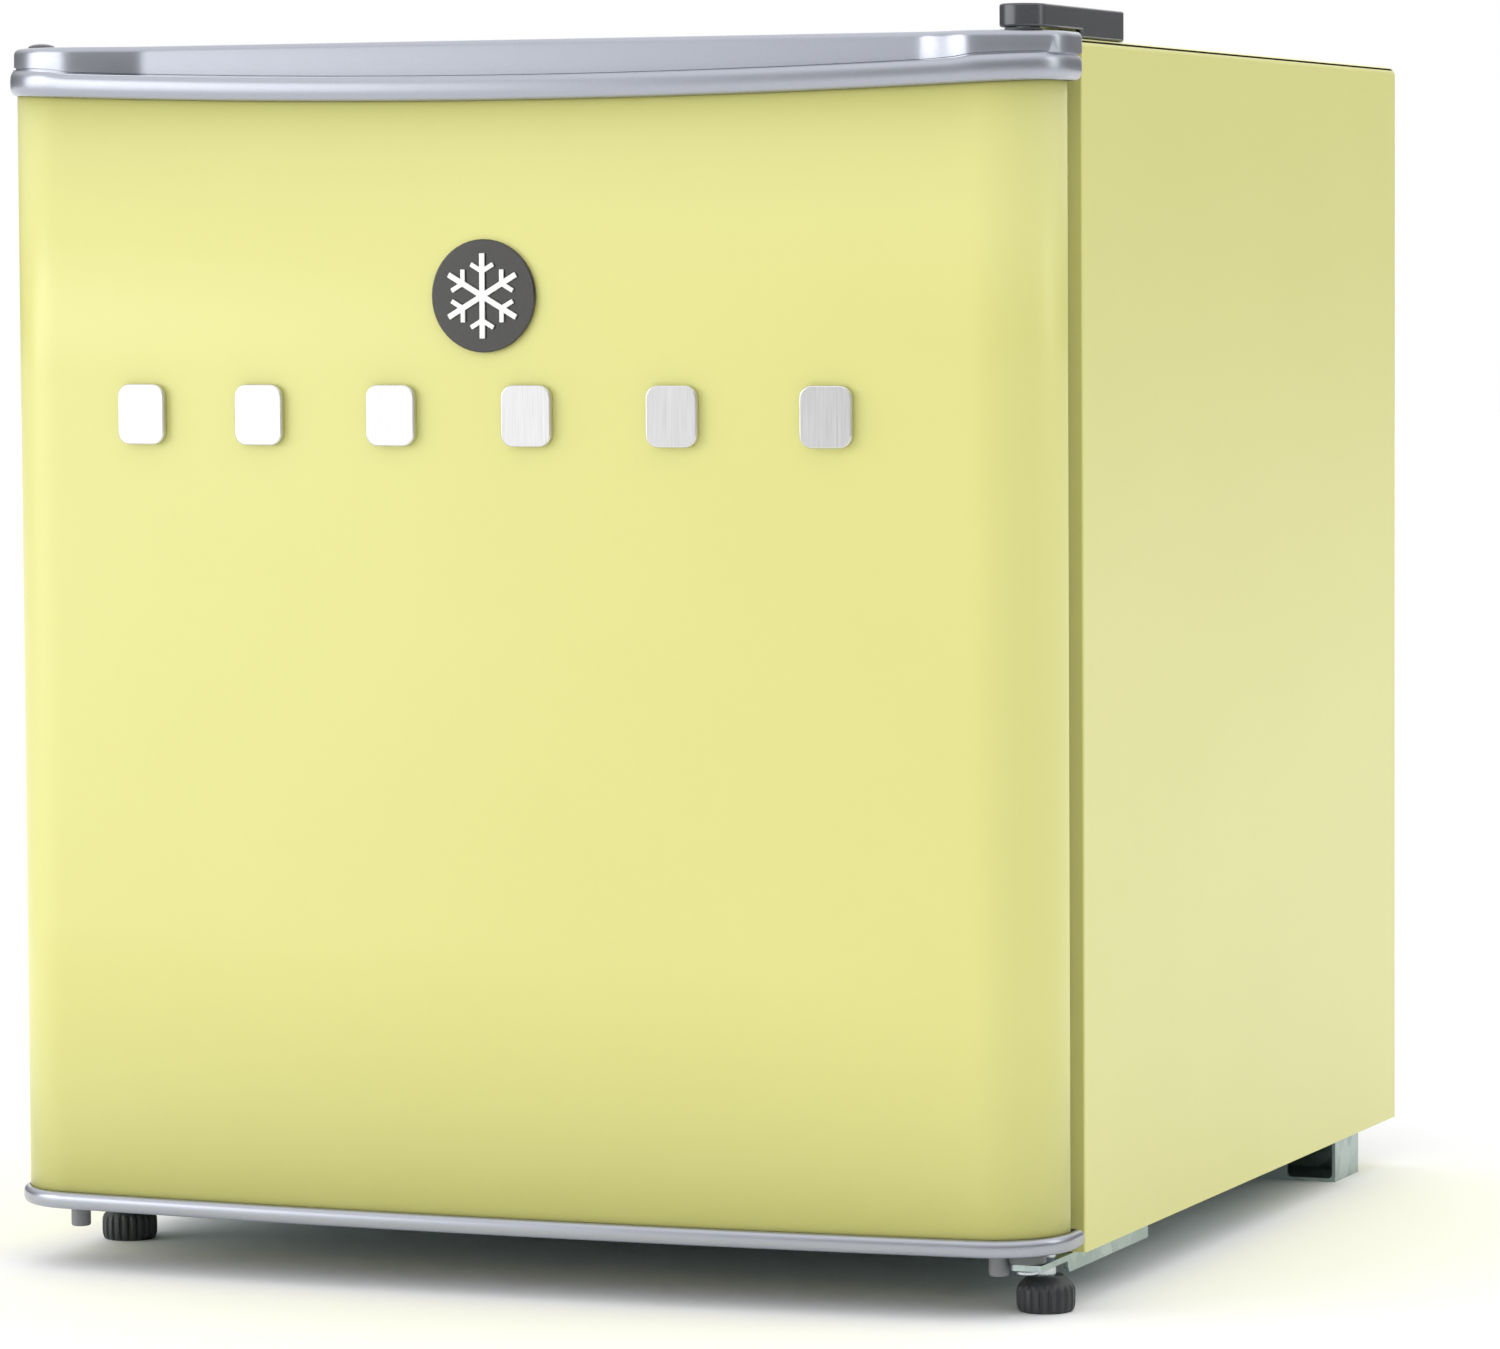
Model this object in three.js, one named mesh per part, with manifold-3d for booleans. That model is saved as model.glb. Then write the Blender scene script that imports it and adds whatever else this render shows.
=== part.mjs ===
// A cube-shaped mini fridge with one bowed door, built as the pieces it comes apart into.
// Millimetres. +X is the viewer's right, +Y the back, +Z up, the origin on the floor under its middle.
// Inside the model group, y = 0 is the cabinet's front plane.
import * as THREE from "three";
import Module from "manifold-3d";
import { mergeVertices } from "three/addons/utils/BufferGeometryUtils.js";

const wasm = await Module();
wasm.setup();

// ---------------------------------------------------------------- driving dimensions

const play = 0.3; // gap between pieces that touch
const sheet = 0.8; // steel sheet
const cabinet = {
  width: 445, depth: 425, height: 468, lift: 21, edge: 4, // edge: the roof's rounded sides
  lip: 16, rearLip: 12, sole: 24, frontSole: 12, // the sheet's folds
};
const wall = { side: 38, top: 36, bottom: 34, back: 38 };
const bay = { depth: 160, height: 172, cover: 32 }; // compressor bay, and the insulation over it
const linerThickness = 1.6;
const screwHole = 2.4;
const ledge = { proud: 7, thick: 4, front: 24, rearGap: 14 };

// Heights of the door and its caps are measured from the cabinet's underside or roof.
const door = { gap: 16.4, depth: 32.3, bow: 7.7, corner: 29.3, aboveFloor: 7.5, belowRoof: 15, hem: 12 };
const cap = { proud: 2.8, rear: 5.5, wall: 2.4, tierInset: 1.6, cornerRear: 3 };
const topCapDrop = { low: 16.6, ledge: 7.2, rise: 2, dip: 5.3 };
const bottomCapRise = { low: 3.7, high: 10.6 };
const recess = { start: 36.5, end: 64.5, wall: 42 }; // start and end in from the door's sides
const gasket = { inset: 13.5, width: 15, crown: 3 };
const flangeInset = { side: 9, end: 12.5 };
const dyke = { inset: 7.5, width: 26, reach: 14, thick: 1.6 };

const hinge = { inset: 13.1, forward: 30, pin: 3, turn: 0.5 }; // turn: running gap round a pin
const upperHinge = { plate: 2.5, rise: 4.8, width: 18.2, rear: 59 };
const cover = { height: 11.9, wall: 1.8, rear: 64, jaw: 1.3 };
const lowerHinge = { plate: 2.5, rear: 93, inner: 52, side: 5.5, flange: 7.1, lug: 5 };
const peg = { radius: 4, away: 11.5, length: 9.2 };
const foot = { radius: 11.4, shoulder: 10.8, neck: 7, stud: 4, ribs: 20 }; // two of them below the cabinet
const footLeftInset = { side: 11.8, front: 37 };
const footRightFromPin = { side: -1.6, back: 16.6 };

const freezer = { side: 6.5, front: 134, height: 109, below: 6, behind: 15, beside: 20, sheet: 1.5 };
const flap = { thick: 4, forward: 5.5, drop: 102, pin: 2 };
const tray = { ahead: 15, below: 18, height: 17, behind: 18, wall: 1.8, lip: 2 };
const shelf = { overHump: 11, front: 95, behind: 13, rod: 2.5, wire: 1.3, count: 15 };
const upperRack = { up: 193, height: 56, rear: 50, wall: 2.2 };
const lowerRack = { height: 76.5, rear: 88, wall: 2.2 };
const thermostat = { side: 8.5, width: 56, front: 140, depth: 92, height: 49, knob: 15 };

// The bay's pieces are placed from the cabinet's back and underside.
const plate = { front: 153, foot: 67, rear: 32, end: 7.5, sheet: 1.5, window: 22 };
const plateScrew = { side: 16.5, back: 125 };
const compressor = { x: 58, back: 80, radius: 62, up: 15, headroom: 33, reachX: 84, reachY: 40 };
const relay = { up: 38, height: 48, depth: 52, width: 30 };
const grommetRadius = 9;
const filter = { x: -150, back: 40, up: 39, headroom: 43 };
const condenser = { radius: 2.4, runs: 4, low: 37, high: 61, front: 40, behind: 35, entry: 60, bend: 28 };
const suction = { x: -60, radius: 2.6, below: 22, back: 5.8 };

const badge = { below: 97.5, x: -3, radius: 22, thick: 1.8, relief: 0.8 };
const stud = { below: 144, wide: 21, tall: 24, thick: 3, corner: 5 };
const studPlaces = [-154, -101, -43, 15, 75.5, 138];

// ---------------------------------------------------------------- places worked out from them

const half = cabinet.width / 2;
const floor = cabinet.lift;
const roof = floor + cabinet.height;
const bayFront = cabinet.depth - bay.depth;
const bayRoof = floor + bay.height;
const cavity = {
  half: half - wall.side,
  low: floor + wall.bottom,
  high: roof - wall.top,
  back: cabinet.depth - wall.back,
  step: bayFront - bay.cover,
  hump: bayRoof + bay.cover,
};
const skinRear = -door.gap;
const skinFront = -(door.gap + door.depth); // at the door's ends
const skin = { low: floor + door.aboveFloor, high: roof - door.belowRoof };
const topCap = { low: roof - topCapDrop.low, ledge: roof - topCapDrop.ledge, high: roof + topCapDrop.rise };
const bottomCap = { low: floor + bottomCapRise.low, high: floor + bottomCapRise.high };
const flange = {
  rear: skinRear + play + linerThickness,
  half: half - flangeInset.side,
  low: floor + flangeInset.end,
  high: roof - flangeInset.end,
};
const axis = { x: half - hinge.inset, y: -hinge.forward };
const footLeft = { x: footLeftInset.side - half, y: footLeftInset.front };
const footRight = { x: axis.x - footRightFromPin.side, y: axis.y + footRightFromPin.back };

const knobAxis = {
  x: cavity.half - thermostat.side - thermostat.width / 2,
  z: cavity.high - thermostat.height / 2 + 0.5,
};
const box = {
  left: freezer.side - cavity.half,
  right: cavity.half - thermostat.side - thermostat.width - freezer.beside,
  back: cavity.back - freezer.behind,
  low: cavity.high - freezer.below - freezer.height,
  high: cavity.high - freezer.below,
};
const trayHigh = box.low - tray.below;
const trayLedge = trayHigh - tray.lip - play;
const shelfLevel = cavity.hump + shelf.overHump;
const potLow = floor + compressor.up;
const potY = cabinet.depth - compressor.back;
const suctionExit = { x: suction.x, z: box.high - suction.below };
const suctionDrop = [suction.x, cabinet.depth - suction.back];
const condenserX = half - sheet - play - condenser.radius;
const condenserDrops = [-1, 1].map((side) => [side * condenserX, bayFront + condenser.entry]);
const plateScrews = [-1, 1].map((side) =>
  [side * (half - plateScrew.side), cabinet.depth - plateScrew.back]);
const grommetPlaces = [-1, 1].flatMap((i) => [-1, 1].map((j) =>
  [compressor.x + i * (compressor.reachX - 10), potY + j * compressor.reachY]));
const upperScrews = [22, 46].map((y) => [axis.x, y]);
const lowerScrews = [30, 74].map((y) => [half - 34, y]);
const pegPlaces = [-1, 1].map((side) => [side * (axis.x - peg.away), axis.y]);

// The foremost point, measured from the cabinet front: the cap, the studs or the badge.
const proud = Math.max(cap.proud, play + stud.thick, 2 * play + badge.thick + badge.relief);
const reach = door.gap + door.depth + door.bow + proud;

// ---------------------------------------------------------------- solids

function solidOf(geometry) {
  const bare = new THREE.BufferGeometry();
  bare.setAttribute("position", geometry.getAttribute("position"));
  if (geometry.index) bare.setIndex(geometry.index);
  const merged = mergeVertices(bare, 1e-4);
  const vertProperties = Float32Array.from(merged.attributes.position.array);
  const triVerts = Uint32Array.from(merged.index.array);
  return new wasm.Manifold(new wasm.Mesh({ numProp: 3, vertProperties, triVerts }));
}

function geometryOf(solid) {
  const made = solid.getMesh();
  const geometry = new THREE.BufferGeometry();
  geometry.setAttribute("position", new THREE.BufferAttribute(made.vertProperties, 3));
  geometry.setIndex(new THREE.BufferAttribute(made.triVerts, 1));
  geometry.computeVertexNormals();
  return geometry;
}

const joined = (first, ...rest) => rest.reduce((sum, next) => sum.add(next), first);
const cut = (first, ...rest) => rest.reduce((left, next) => left.subtract(next), first);

function block(x0, x1, y0, y1, z0, z1) {
  const brick = new THREE.BoxGeometry(x1 - x0, y1 - y0, z1 - z0);
  return solidOf(brick.translate((x0 + x1) / 2, (y0 + y1) / 2, (z0 + z1) / 2));
}

function extruded(shape, depth, curveSegments) {
  return new THREE.ExtrudeGeometry(shape, { depth, bevelEnabled: false, curveSegments });
}

// A plan outline (x, y) raised along z.
function prism(shape, z0, z1, curveSegments = 12) {
  return solidOf(extruded(shape, z1 - z0, curveSegments).translate(0, 0, z0));
}

// An elevation outline (x, z) swept along y.
function prismAlongY(shape, y0, y1, curveSegments = 12) {
  return solidOf(extruded(shape, y1 - y0, curveSegments).rotateX(Math.PI / 2).translate(0, y1, 0));
}

// A side outline (y, z) swept along x.
function prismAlongX(shape, x0, x1, curveSegments = 12) {
  const turn = new THREE.Matrix4().makeBasis(
    new THREE.Vector3(0, 1, 0), new THREE.Vector3(0, 0, 1), new THREE.Vector3(1, 0, 0));
  return solidOf(extruded(shape, x1 - x0, curveSegments).applyMatrix4(turn).translate(x0, 0, 0));
}

// A profile of [radius, height] pairs, from the axis round to the axis, turned about a vertical line.
function turned(profile, x, y, segments = 24) {
  const points = profile.map(([r, z]) => new THREE.Vector2(r, z));
  return solidOf(new THREE.LatheGeometry(points, segments).rotateX(Math.PI / 2).translate(x, y, 0));
}

const rod = (radius, x, y, z0, z1, segments = 20) =>
  turned([[0, z0], [radius, z0], [radius, z1], [0, z1]], x, y, segments);

function rodAlongY(radius, x, z, y0, y1, segments = 8) {
  const bar = new THREE.CylinderGeometry(radius, radius, y1 - y0, segments);
  return solidOf(bar.translate(x, (y0 + y1) / 2, z));
}

function rodAlongX(radius, y, z, x0, x1, segments = 8) {
  const bar = new THREE.CylinderGeometry(radius, radius, x1 - x0, segments).rotateZ(Math.PI / 2);
  return solidOf(bar.translate((x0 + x1) / 2, y, z));
}

// A path through given points, whose steps fall on the points themselves.
class PipeRun extends THREE.Curve {
  constructor(stops) {
    super();
    this.stops = stops;
  }

  at(u) {
    return Math.round(u * (this.stops.length - 1));
  }

  getPointAt(u) {
    return this.stops[this.at(u)].clone();
  }

  getTangentAt(u) {
    const i = this.at(u);
    const before = this.stops[Math.max(i - 1, 0)];
    const here = this.stops[i];
    const after = this.stops[Math.min(i + 1, this.stops.length - 1)];
    const arriving = here.clone().sub(before).normalize();
    const leaving = after.clone().sub(here).normalize();
    return arriving.add(leaving).normalize();
  }
}

// A round tube through a list of points, with rounded bends.
function tube(points, radius, bend) {
  const corners = points.map(([x, y, z]) => new THREE.Vector3(x, y, z));
  const stops = [corners[0]];
  for (let i = 1; i < corners.length - 1; i += 1) {
    const [before, corner, after] = corners.slice(i - 1, i + 2);
    const arriving = corner.distanceTo(before);
    const leaving = corner.distanceTo(after);
    const room = Math.min(bend, arriving * 0.49, leaving * 0.49);
    const enter = corner.clone().lerp(before, room / arriving);
    const leave = corner.clone().lerp(after, room / leaving);
    stops.push(...new THREE.QuadraticBezierCurve3(enter, corner, leave).getPoints(6));
  }
  stops.push(corners[corners.length - 1]);
  const section = new THREE.Shape();
  section.absarc(0, 0, radius, 0, 2 * Math.PI);
  const options = { steps: stops.length - 1, curveSegments: 3, extrudePath: new PipeRun(stops) };
  return solidOf(new THREE.ExtrudeGeometry(section, options));
}

function rectangle(x0, x1, y0, y1, radius = 0) {
  const shape = new THREE.Shape();
  if (radius === 0) {
    shape.moveTo(x0, y0).lineTo(x1, y0).lineTo(x1, y1).lineTo(x0, y1);
    return shape;
  }
  shape.moveTo(x0 + radius, y0);
  shape.absarc(x1 - radius, y0 + radius, radius, -Math.PI / 2, 0);
  shape.absarc(x1 - radius, y1 - radius, radius, 0, Math.PI / 2);
  shape.absarc(x0 + radius, y1 - radius, radius, Math.PI / 2, Math.PI);
  shape.absarc(x0 + radius, y0 + radius, radius, Math.PI, 1.5 * Math.PI);
  return shape;
}

const polygon = (points) => new THREE.Shape(points.map(([x, y]) => new THREE.Vector2(x, y)));

// The door's plan: a shallow bow between two round corners, grown outwards by `grow`.
function doorPlan(grow, rear, rearCorner = 0) {
  const cornerX = half - door.corner;
  const cornerY = skinFront + door.corner;
  const radius = door.corner + grow;
  const bowRadius = (cornerX ** 2 + door.bow ** 2) / (2 * door.bow);
  const slope = Math.asin(cornerX / bowRadius);
  const bowY = cornerY + cornerX / Math.tan(slope);
  const side = half + grow;
  const quarter = Math.PI / 2;
  const shape = new THREE.Shape();
  if (rearCorner > 0) shape.absarc(side - rearCorner, rear - rearCorner, rearCorner, quarter, 0, true);
  else shape.moveTo(side, rear);
  shape.lineTo(side, cornerY);
  shape.absarc(cornerX, cornerY, radius, 0, slope - quarter, true);
  shape.absarc(0, bowY, radius + cornerX / Math.sin(slope), slope - quarter, -slope - quarter, true);
  shape.absarc(-cornerX, cornerY, radius, -slope - quarter, -Math.PI, true);
  if (rearCorner > 0) shape.absarc(rearCorner - side, rear - rearCorner, rearCorner, Math.PI, quarter, true);
  else shape.lineTo(-side, rear);
  return shape;
}

// ---------------------------------------------------------------- cabinet

function cabinetShell() {
  const outer = block(-half, half, 0, cabinet.depth, floor, roof);
  const roundTop = prismAlongY(
    rectangle(-half, half, floor - 50, roof, cabinet.edge), -1, cabinet.depth + 1, 3);
  const roofed = outer.intersect(roundTop);
  const inside = block(
    sheet - half, half - sheet, sheet, cabinet.depth - sheet, floor + sheet, roof - sheet);
  const { lip, rearLip, sole } = cabinet;
  const mouth = block(-half + lip, half - lip, -1, sheet + 1, floor + lip, roof - lip);
  const open = block(
    -half + rearLip, half - rearLip, cabinet.depth - sheet - 1, cabinet.depth + 1, floor - 1, roof - rearLip);
  const underside = block(
    -half + sheet, half - sheet, sheet + cabinet.frontSole, bayFront + 2, floor - 1, floor + sheet + 1);
  const betweenSoles = block(
    -half + sole, half - sole, bayFront, cabinet.depth + 1, floor - 1, floor + sheet + 1);
  const holes = [
    ...upperScrews.map(([x, y]) => rod(screwHole, x, y, roof - 3, roof + 1, 12)),
    ...plateScrews.map(([x, y]) => rod(screwHole, x, y, floor - 1, floor + 2, 12))];
  return cut(roofed, inside, mouth, open, underside, betweenSoles, ...holes);
}

function backPanel() {
  const y = cabinet.depth - sheet - play;
  return block(
    -half + sheet + play, half - sheet - play, y - sheet, y, bayRoof + sheet + play, roof - sheet - play);
}

function basePlate() {
  const side = half - sheet - play;
  const y0 = sheet + cabinet.frontSole + play;
  const y1 = cabinet.depth - 3 * sheet - 3 * play;
  const run = polygon([
    [y0, floor], [bayFront + sheet, floor], [bayFront + sheet, bayRoof - sheet], [y1, bayRoof - sheet],
    [y1, bayRoof], [bayFront, bayRoof], [bayFront, floor + sheet], [y0, floor + sheet]]);
  const holes = [
    rod(foot.stud + play, footLeft.x, footLeft.y, floor - 1, floor + 2, 20),
    ...lowerScrews.map(([x, y]) => rod(screwHole, x, y, floor - 1, floor + 2, 12)),
    ...[suctionDrop, ...condenserDrops].map(([x, y]) => rod(3.4, x, y, bayRoof - 2, bayRoof + 1, 12))];
  return cut(prismAlongX(run, -side, side), ...holes);
}

// A stepped box: full depth above the hump, shorter below it.
function steppedBox(grow, front) {
  const side = cavity.half + grow;
  const high = cavity.high + grow;
  return joined(
    block(-side, side, front, cavity.back + grow, cavity.hump - grow, high),
    block(-side, side, front, cavity.step + grow, cavity.low - grow, high));
}

function innerLiner() {
  const lip = cabinet.lip + play;
  const front = 0.2; // set back behind the shell's front
  const face = prismAlongY(
    rectangle(lip - half, half - lip, floor + lip, roof - lip, 3), front, front + linerThickness, 3);
  const ribs = [shelfLevel, trayLedge].flatMap((top) => [-1, 1].map((side) => {
    const inner = side * (cavity.half - ledge.proud);
    const outer = side * (cavity.half + linerThickness / 2);
    return block(
      Math.min(inner, outer), Math.max(inner, outer), ledge.front, cavity.back - ledge.rearGap,
      top - ledge.thick, top);
  }));
  const shell = joined(face, steppedBox(linerThickness, front));
  const hollow = steppedBox(0, -1);
  const pipeHole = rodAlongY(3.5, suctionExit.x, suctionExit.z, cavity.back - 2, cavity.back + 5, 12);
  return cut(joined(cut(shell, hollow), ...ribs), pipeHole);
}

function cabinetFoam() {
  const skinLayer = sheet + 2 * condenser.radius + 3 * play; // the skin condenser lies in this layer
  const side = half - skinLayer;
  const y1 = cabinet.depth - 9;
  const blank = prismAlongY(
    rectangle(-side, side, floor - 60, roof - skinLayer, condenser.bend), 2.3, y1, 4);
  const sole = block(-half, half, 0, cabinet.depth, floor - 70, floor + sheet + 2 * play);
  const bayRoom = block(-half, half, bayFront - play, cabinet.depth, floor - 1, bayRoof + play);
  const frontLip = block(-half, half, -1, sheet + cabinet.frontSole + 2 * play, floor - 1, floor + 3);
  const pipe = rodAlongY(4, suctionExit.x, suctionExit.z, cavity.back - 2, y1 + 1, 12);
  const bend = block(
    suctionExit.x - 4, suctionExit.x + 4, y1 - 8, y1 + 1, suctionExit.z - 14, suctionExit.z + 2);
  const footRoom = rod(foot.stud + 1, footLeft.x, footLeft.y, floor, floor + 14, 12);
  const screwRoom = lowerScrews.map(([x, y]) => rod(3, x, y, floor, floor + 12, 10));
  return cut(
    blank, sole, bayRoom, frontLip, steppedBox(linerThickness + play, -1),
    pipe, bend, footRoom, ...screwRoom);
}

// ---------------------------------------------------------------- cooling circuit

// Four runs up one side, over the roof, and four down the other, against the shell's inside.
function condenserTube() {
  const x = condenserX;
  const z = roof - sheet - play - condenser.radius;
  const entry = bayFront + condenser.entry;
  const rear = cabinet.depth - condenser.behind;
  const first = bayRoof + condenser.low;
  const pitch = (roof - condenser.high - first) / (condenser.runs - 1);
  const side = [[entry, bayRoof - 50], [entry, first]];
  for (let i = 0; i < condenser.runs; i += 1) {
    if (i > 0) side.push([i % 2 ? condenser.front : rear, first + i * pitch]);
    side.push([i % 2 ? rear : condenser.front, first + i * pitch]);
  }
  const last = side[side.length - 1][0];
  const points = [
    ...side.map(([y, h]) => [x, y, h]), [x, last, z], [-x, last, z],
    ...side.toReversed().map(([y, h]) => [-x, y, h])];
  return tube(points, condenser.radius, condenser.bend);
}

function evaporator() {
  const { left, right, back, low, high } = box;
  const t = freezer.sheet;
  return cut(
    block(left, right, freezer.front, back, low, high),
    block(left + t, right - t, freezer.front - 1, back - t, low + t, high - t));
}

// From the freezer box out through the back wall, down behind the foam and into the bay.
function suctionTube() {
  const { x, z } = suctionExit;
  const y = suctionDrop[1];
  return tube([
    [x, box.back + play, z], [x, y, z], [x, y, bayRoof - 63],
    [compressor.x - compressor.radius - 1, potY + 10, bayRoof - 73]], suction.radius, 10);
}

function capillaryTube() {
  const { x } = filter;
  const y = cabinet.depth - filter.back;
  return tube([
    [x, y, bayRoof - filter.headroom + play], [x, y, bayRoof - 33], [x + 40, y, bayRoof - 25],
    [x + 40, y, bayRoof - 73], [x + 70, y, bayRoof - 83]], 1.2, 14);
}

function filterDryer() {
  const low = floor + filter.up;
  const high = bayRoof - filter.headroom;
  return turned([
    [0, low], [3, low], [3, low + 10], [8, low + 18],
    [8, high - 16], [2.5, high - 7], [2.5, high], [0, high]],
  filter.x, cabinet.depth - filter.back, 16);
}

function compressorBody() {
  const { x, radius: r, reachX, reachY } = compressor;
  const [y, low, high] = [potY, potLow, bayRoof - compressor.headroom];
  const seam = (low + high) / 2;
  const pot = turned([
    [0, low], [r * 0.62, low], [r * 0.86, low + 7], [r * 0.97, low + 22], [r, seam - 2], [r + 3, seam - 2],
    [r + 3, seam + 2], [r, seam + 2], [r * 0.96, high - 30], [r * 0.82, high - 12], [r * 0.55, high - 3],
    [0, high]], x, y, 32);
  const legs = prism(
    rectangle(x - reachX, x + reachX, y - reachY - 10, y + reachY + 10, 9), low - 2.5, low + 0.5, 3);
  const holes = grommetPlaces.map(([gx, gy]) => rod(4.4, gx, gy, low - 5, low + 3, 12));
  return cut(joined(pot, legs), ...holes);
}

function grommetAt([x, y]) {
  const legLow = potLow - 2.5 - play;
  return turned([
    [0, floor], [grommetRadius, floor], [grommetRadius - 1, legLow],
    [4, legLow], [4, potLow + 2], [0, potLow + 2]], x, y, 16);
}

function relayCover() {
  const x = compressor.x + compressor.radius + 3 + play;
  const low = potLow + relay.up;
  return prism(
    rectangle(x, x + relay.width, potY - relay.depth / 2, potY + relay.depth / 2, 5),
    low, low + relay.height, 3);
}

// The plate the compressor stands on, folded down at the rear into the box the fridge stands on.
function mountPlate() {
  const { sheet: t, window } = plate;
  const end = half - plate.end;
  const [front, f, rear] = [plate.front, plate.foot, plate.rear].map((back) => cabinet.depth - back);
  const top = floor - play;
  const channel = block(-end, end, f, rear, 0, top);
  const room = block(-end + t, end - t, f + t, rear - t, t, top - t);
  const deck = block(-end, end, front, f + 1, top - t, top);
  const windows = [-1, 1].map((side) => {
    const inner = side * (end - window);
    const outer = side * (end - t);
    return prismAlongY(
      rectangle(Math.min(inner, outer), Math.max(inner, outer), t, top - t, 2), f - 1, f + t + 1, 3);
  });
  const holes = plateScrews.map(([x, y]) => rod(screwHole, x, y, top - 3, top + 1, 12));
  return cut(joined(channel, deck), room, ...windows, ...holes);
}

function screw(x, y, seat, up, radius = 4.4) {
  const head = 2.4;
  const turn = up ? 1 : -1;
  const profile = [
    [0, -head], [radius * 0.75, -head], [radius, -head * 0.4], [radius, 0], [2, 0], [2, 7], [0, 7]];
  const placed = profile.map(([r, h]) => [r, seat + turn * h]);
  return turned(up ? placed : placed.toReversed(), x, y, 16);
}

// ---------------------------------------------------------------- freezer, shelf, thermostat

const flapAxis = { y: freezer.front - 7.5 - flap.forward, z: box.high - 7 };

function freezerFrame() {
  const { left, right, low, high } = box;
  const y0 = freezer.front - 7.8;
  const ring = cut(
    prismAlongY(rectangle(left - 3, right + 3, low - 3, high + 3, 4), y0, freezer.front - play, 3),
    prismAlongY(rectangle(left + 5, right - 5, low + 5, high - 9, 5), y0 - 1, freezer.front + 1, 3));
  const ears = [[left - 3, left + 0.6], [right - 0.6, right + 3]].map(([x0, x1]) =>
    block(x0, x1, flapAxis.y - 5, y0 + 2, flapAxis.z - 7, high + 3));
  const bores = rodAlongX(flap.pin + 0.3, flapAxis.y, flapAxis.z, left - 4, right + 4, 12);
  return cut(joined(ring, ...ears), bores);
}

function freezerFlap() {
  const { left, right } = box;
  const panel = prismAlongY(
    rectangle(left + 1.4, right - 1.4, flapAxis.z - flap.drop, flapAxis.z + 4.4, 3),
    flapAxis.y - flap.thick / 2, flapAxis.y + flap.thick / 2, 3);
  const grip = block(
    -80, 0, flapAxis.y - 10, flapAxis.y, flapAxis.z - flap.drop + 1, flapAxis.z - flap.drop + 4);
  return joined(panel, grip, rodAlongX(flap.pin, flapAxis.y, flapAxis.z, left - 2.6, right + 2.6, 12));
}

function dripTray() {
  const side = cavity.half - ledge.proud - 0.8;
  const lip = cavity.half - 2;
  const t = tray.wall;
  const [front, rear] = [freezer.front - tray.ahead, cavity.back - tray.behind];
  const [low, high] = [trayHigh - tray.height, trayHigh];
  const body = block(-side, side, front, rear, low, high);
  const room = block(-side + t, side - t, front + t, rear - t, low + t, high + 1);
  const lips = block(-lip, lip, front, rear, high - tray.lip, high);
  const grip = block(-45, 45, front - 9, front + 1, high - 3, high);
  return cut(joined(body, lips, grip), room);
}

function wireShelf() {
  const z = shelfLevel + play + shelf.rod;
  const side = cavity.half - ledge.proud / 2;
  const { front, rod: thick, wire, count } = shelf;
  const rear = cavity.back - shelf.behind;
  const frame = [
    rodAlongX(thick, front, z, -side, side), rodAlongX(thick, rear, z, -side, side),
    rodAlongY(thick, -side, z, front, rear), rodAlongY(thick, side, z, front, rear),
    ...[[-side, front], [side, front], [-side, rear], [side, rear]].map(([x, y]) =>
      rod(thick, x, y, z - thick, z + thick, 8))];
  const wires = [];
  for (let i = 1; i <= count; i += 1) {
    const x = -side + (2 * side * i) / (count + 1);
    wires.push(rodAlongY(wire, x, z + 1.6, front, rear, 6));
  }
  return joined(...frame, ...wires);
}

function thermostatHousing() {
  const { width, front, depth } = thermostat;
  const right = cavity.half - thermostat.side;
  const left = right - width;
  const low = cavity.high - thermostat.height;
  const high = cavity.high - play;
  const casing = prismAlongY(rectangle(left, right, low, high, 2), front, front + depth, 3);
  const room = block(left + 2, right - 2, front + 2, front + depth - 2, low + 2, high + 1);
  return cut(casing, room, rodAlongY(5, knobAxis.x, knobAxis.z, front - 1, front + 3, 16));
}

function thermostatBody() {
  const { x, z } = knobAxis;
  const front = thermostat.front + 2 + play;
  const can = block(x - 16, x + 16, front + 6, front + 38, z - 14, z + 14);
  const bushing = rodAlongY(4.4, x, z, thermostat.front + play, front + 7, 16);
  const spindle = rodAlongY(3, x, z, thermostat.front - 12, front, 16);
  return joined(can, bushing, spindle);
}

function thermostatKnob() {
  const { x, z } = knobAxis;
  const rear = thermostat.front - play;
  const ribs = new THREE.Shape();
  for (let i = 0; i < 48; i += 1) {
    const r = thermostat.knob - (i % 2 ? 0.9 : 0);
    const angle = (i / 48) * 2 * Math.PI;
    if (i === 0) ribs.moveTo(x + r * Math.cos(angle), z + r * Math.sin(angle));
    else ribs.lineTo(x + r * Math.cos(angle), z + r * Math.sin(angle));
  }
  const grip = prismAlongY(ribs, rear - 14, rear - 3);
  const skirt = rodAlongY(thermostat.knob + 2, x, z, rear - 3.5, rear, 32);
  const pointer = block(x - 1, x + 1, rear - 15.2, rear - 13, z + 2, z + thermostat.knob - 2);
  return cut(joined(grip, skirt, pointer), rodAlongY(3.3, x, z, rear - 12.2, rear + 1, 16));
}

// ---------------------------------------------------------------- hinges

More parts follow.
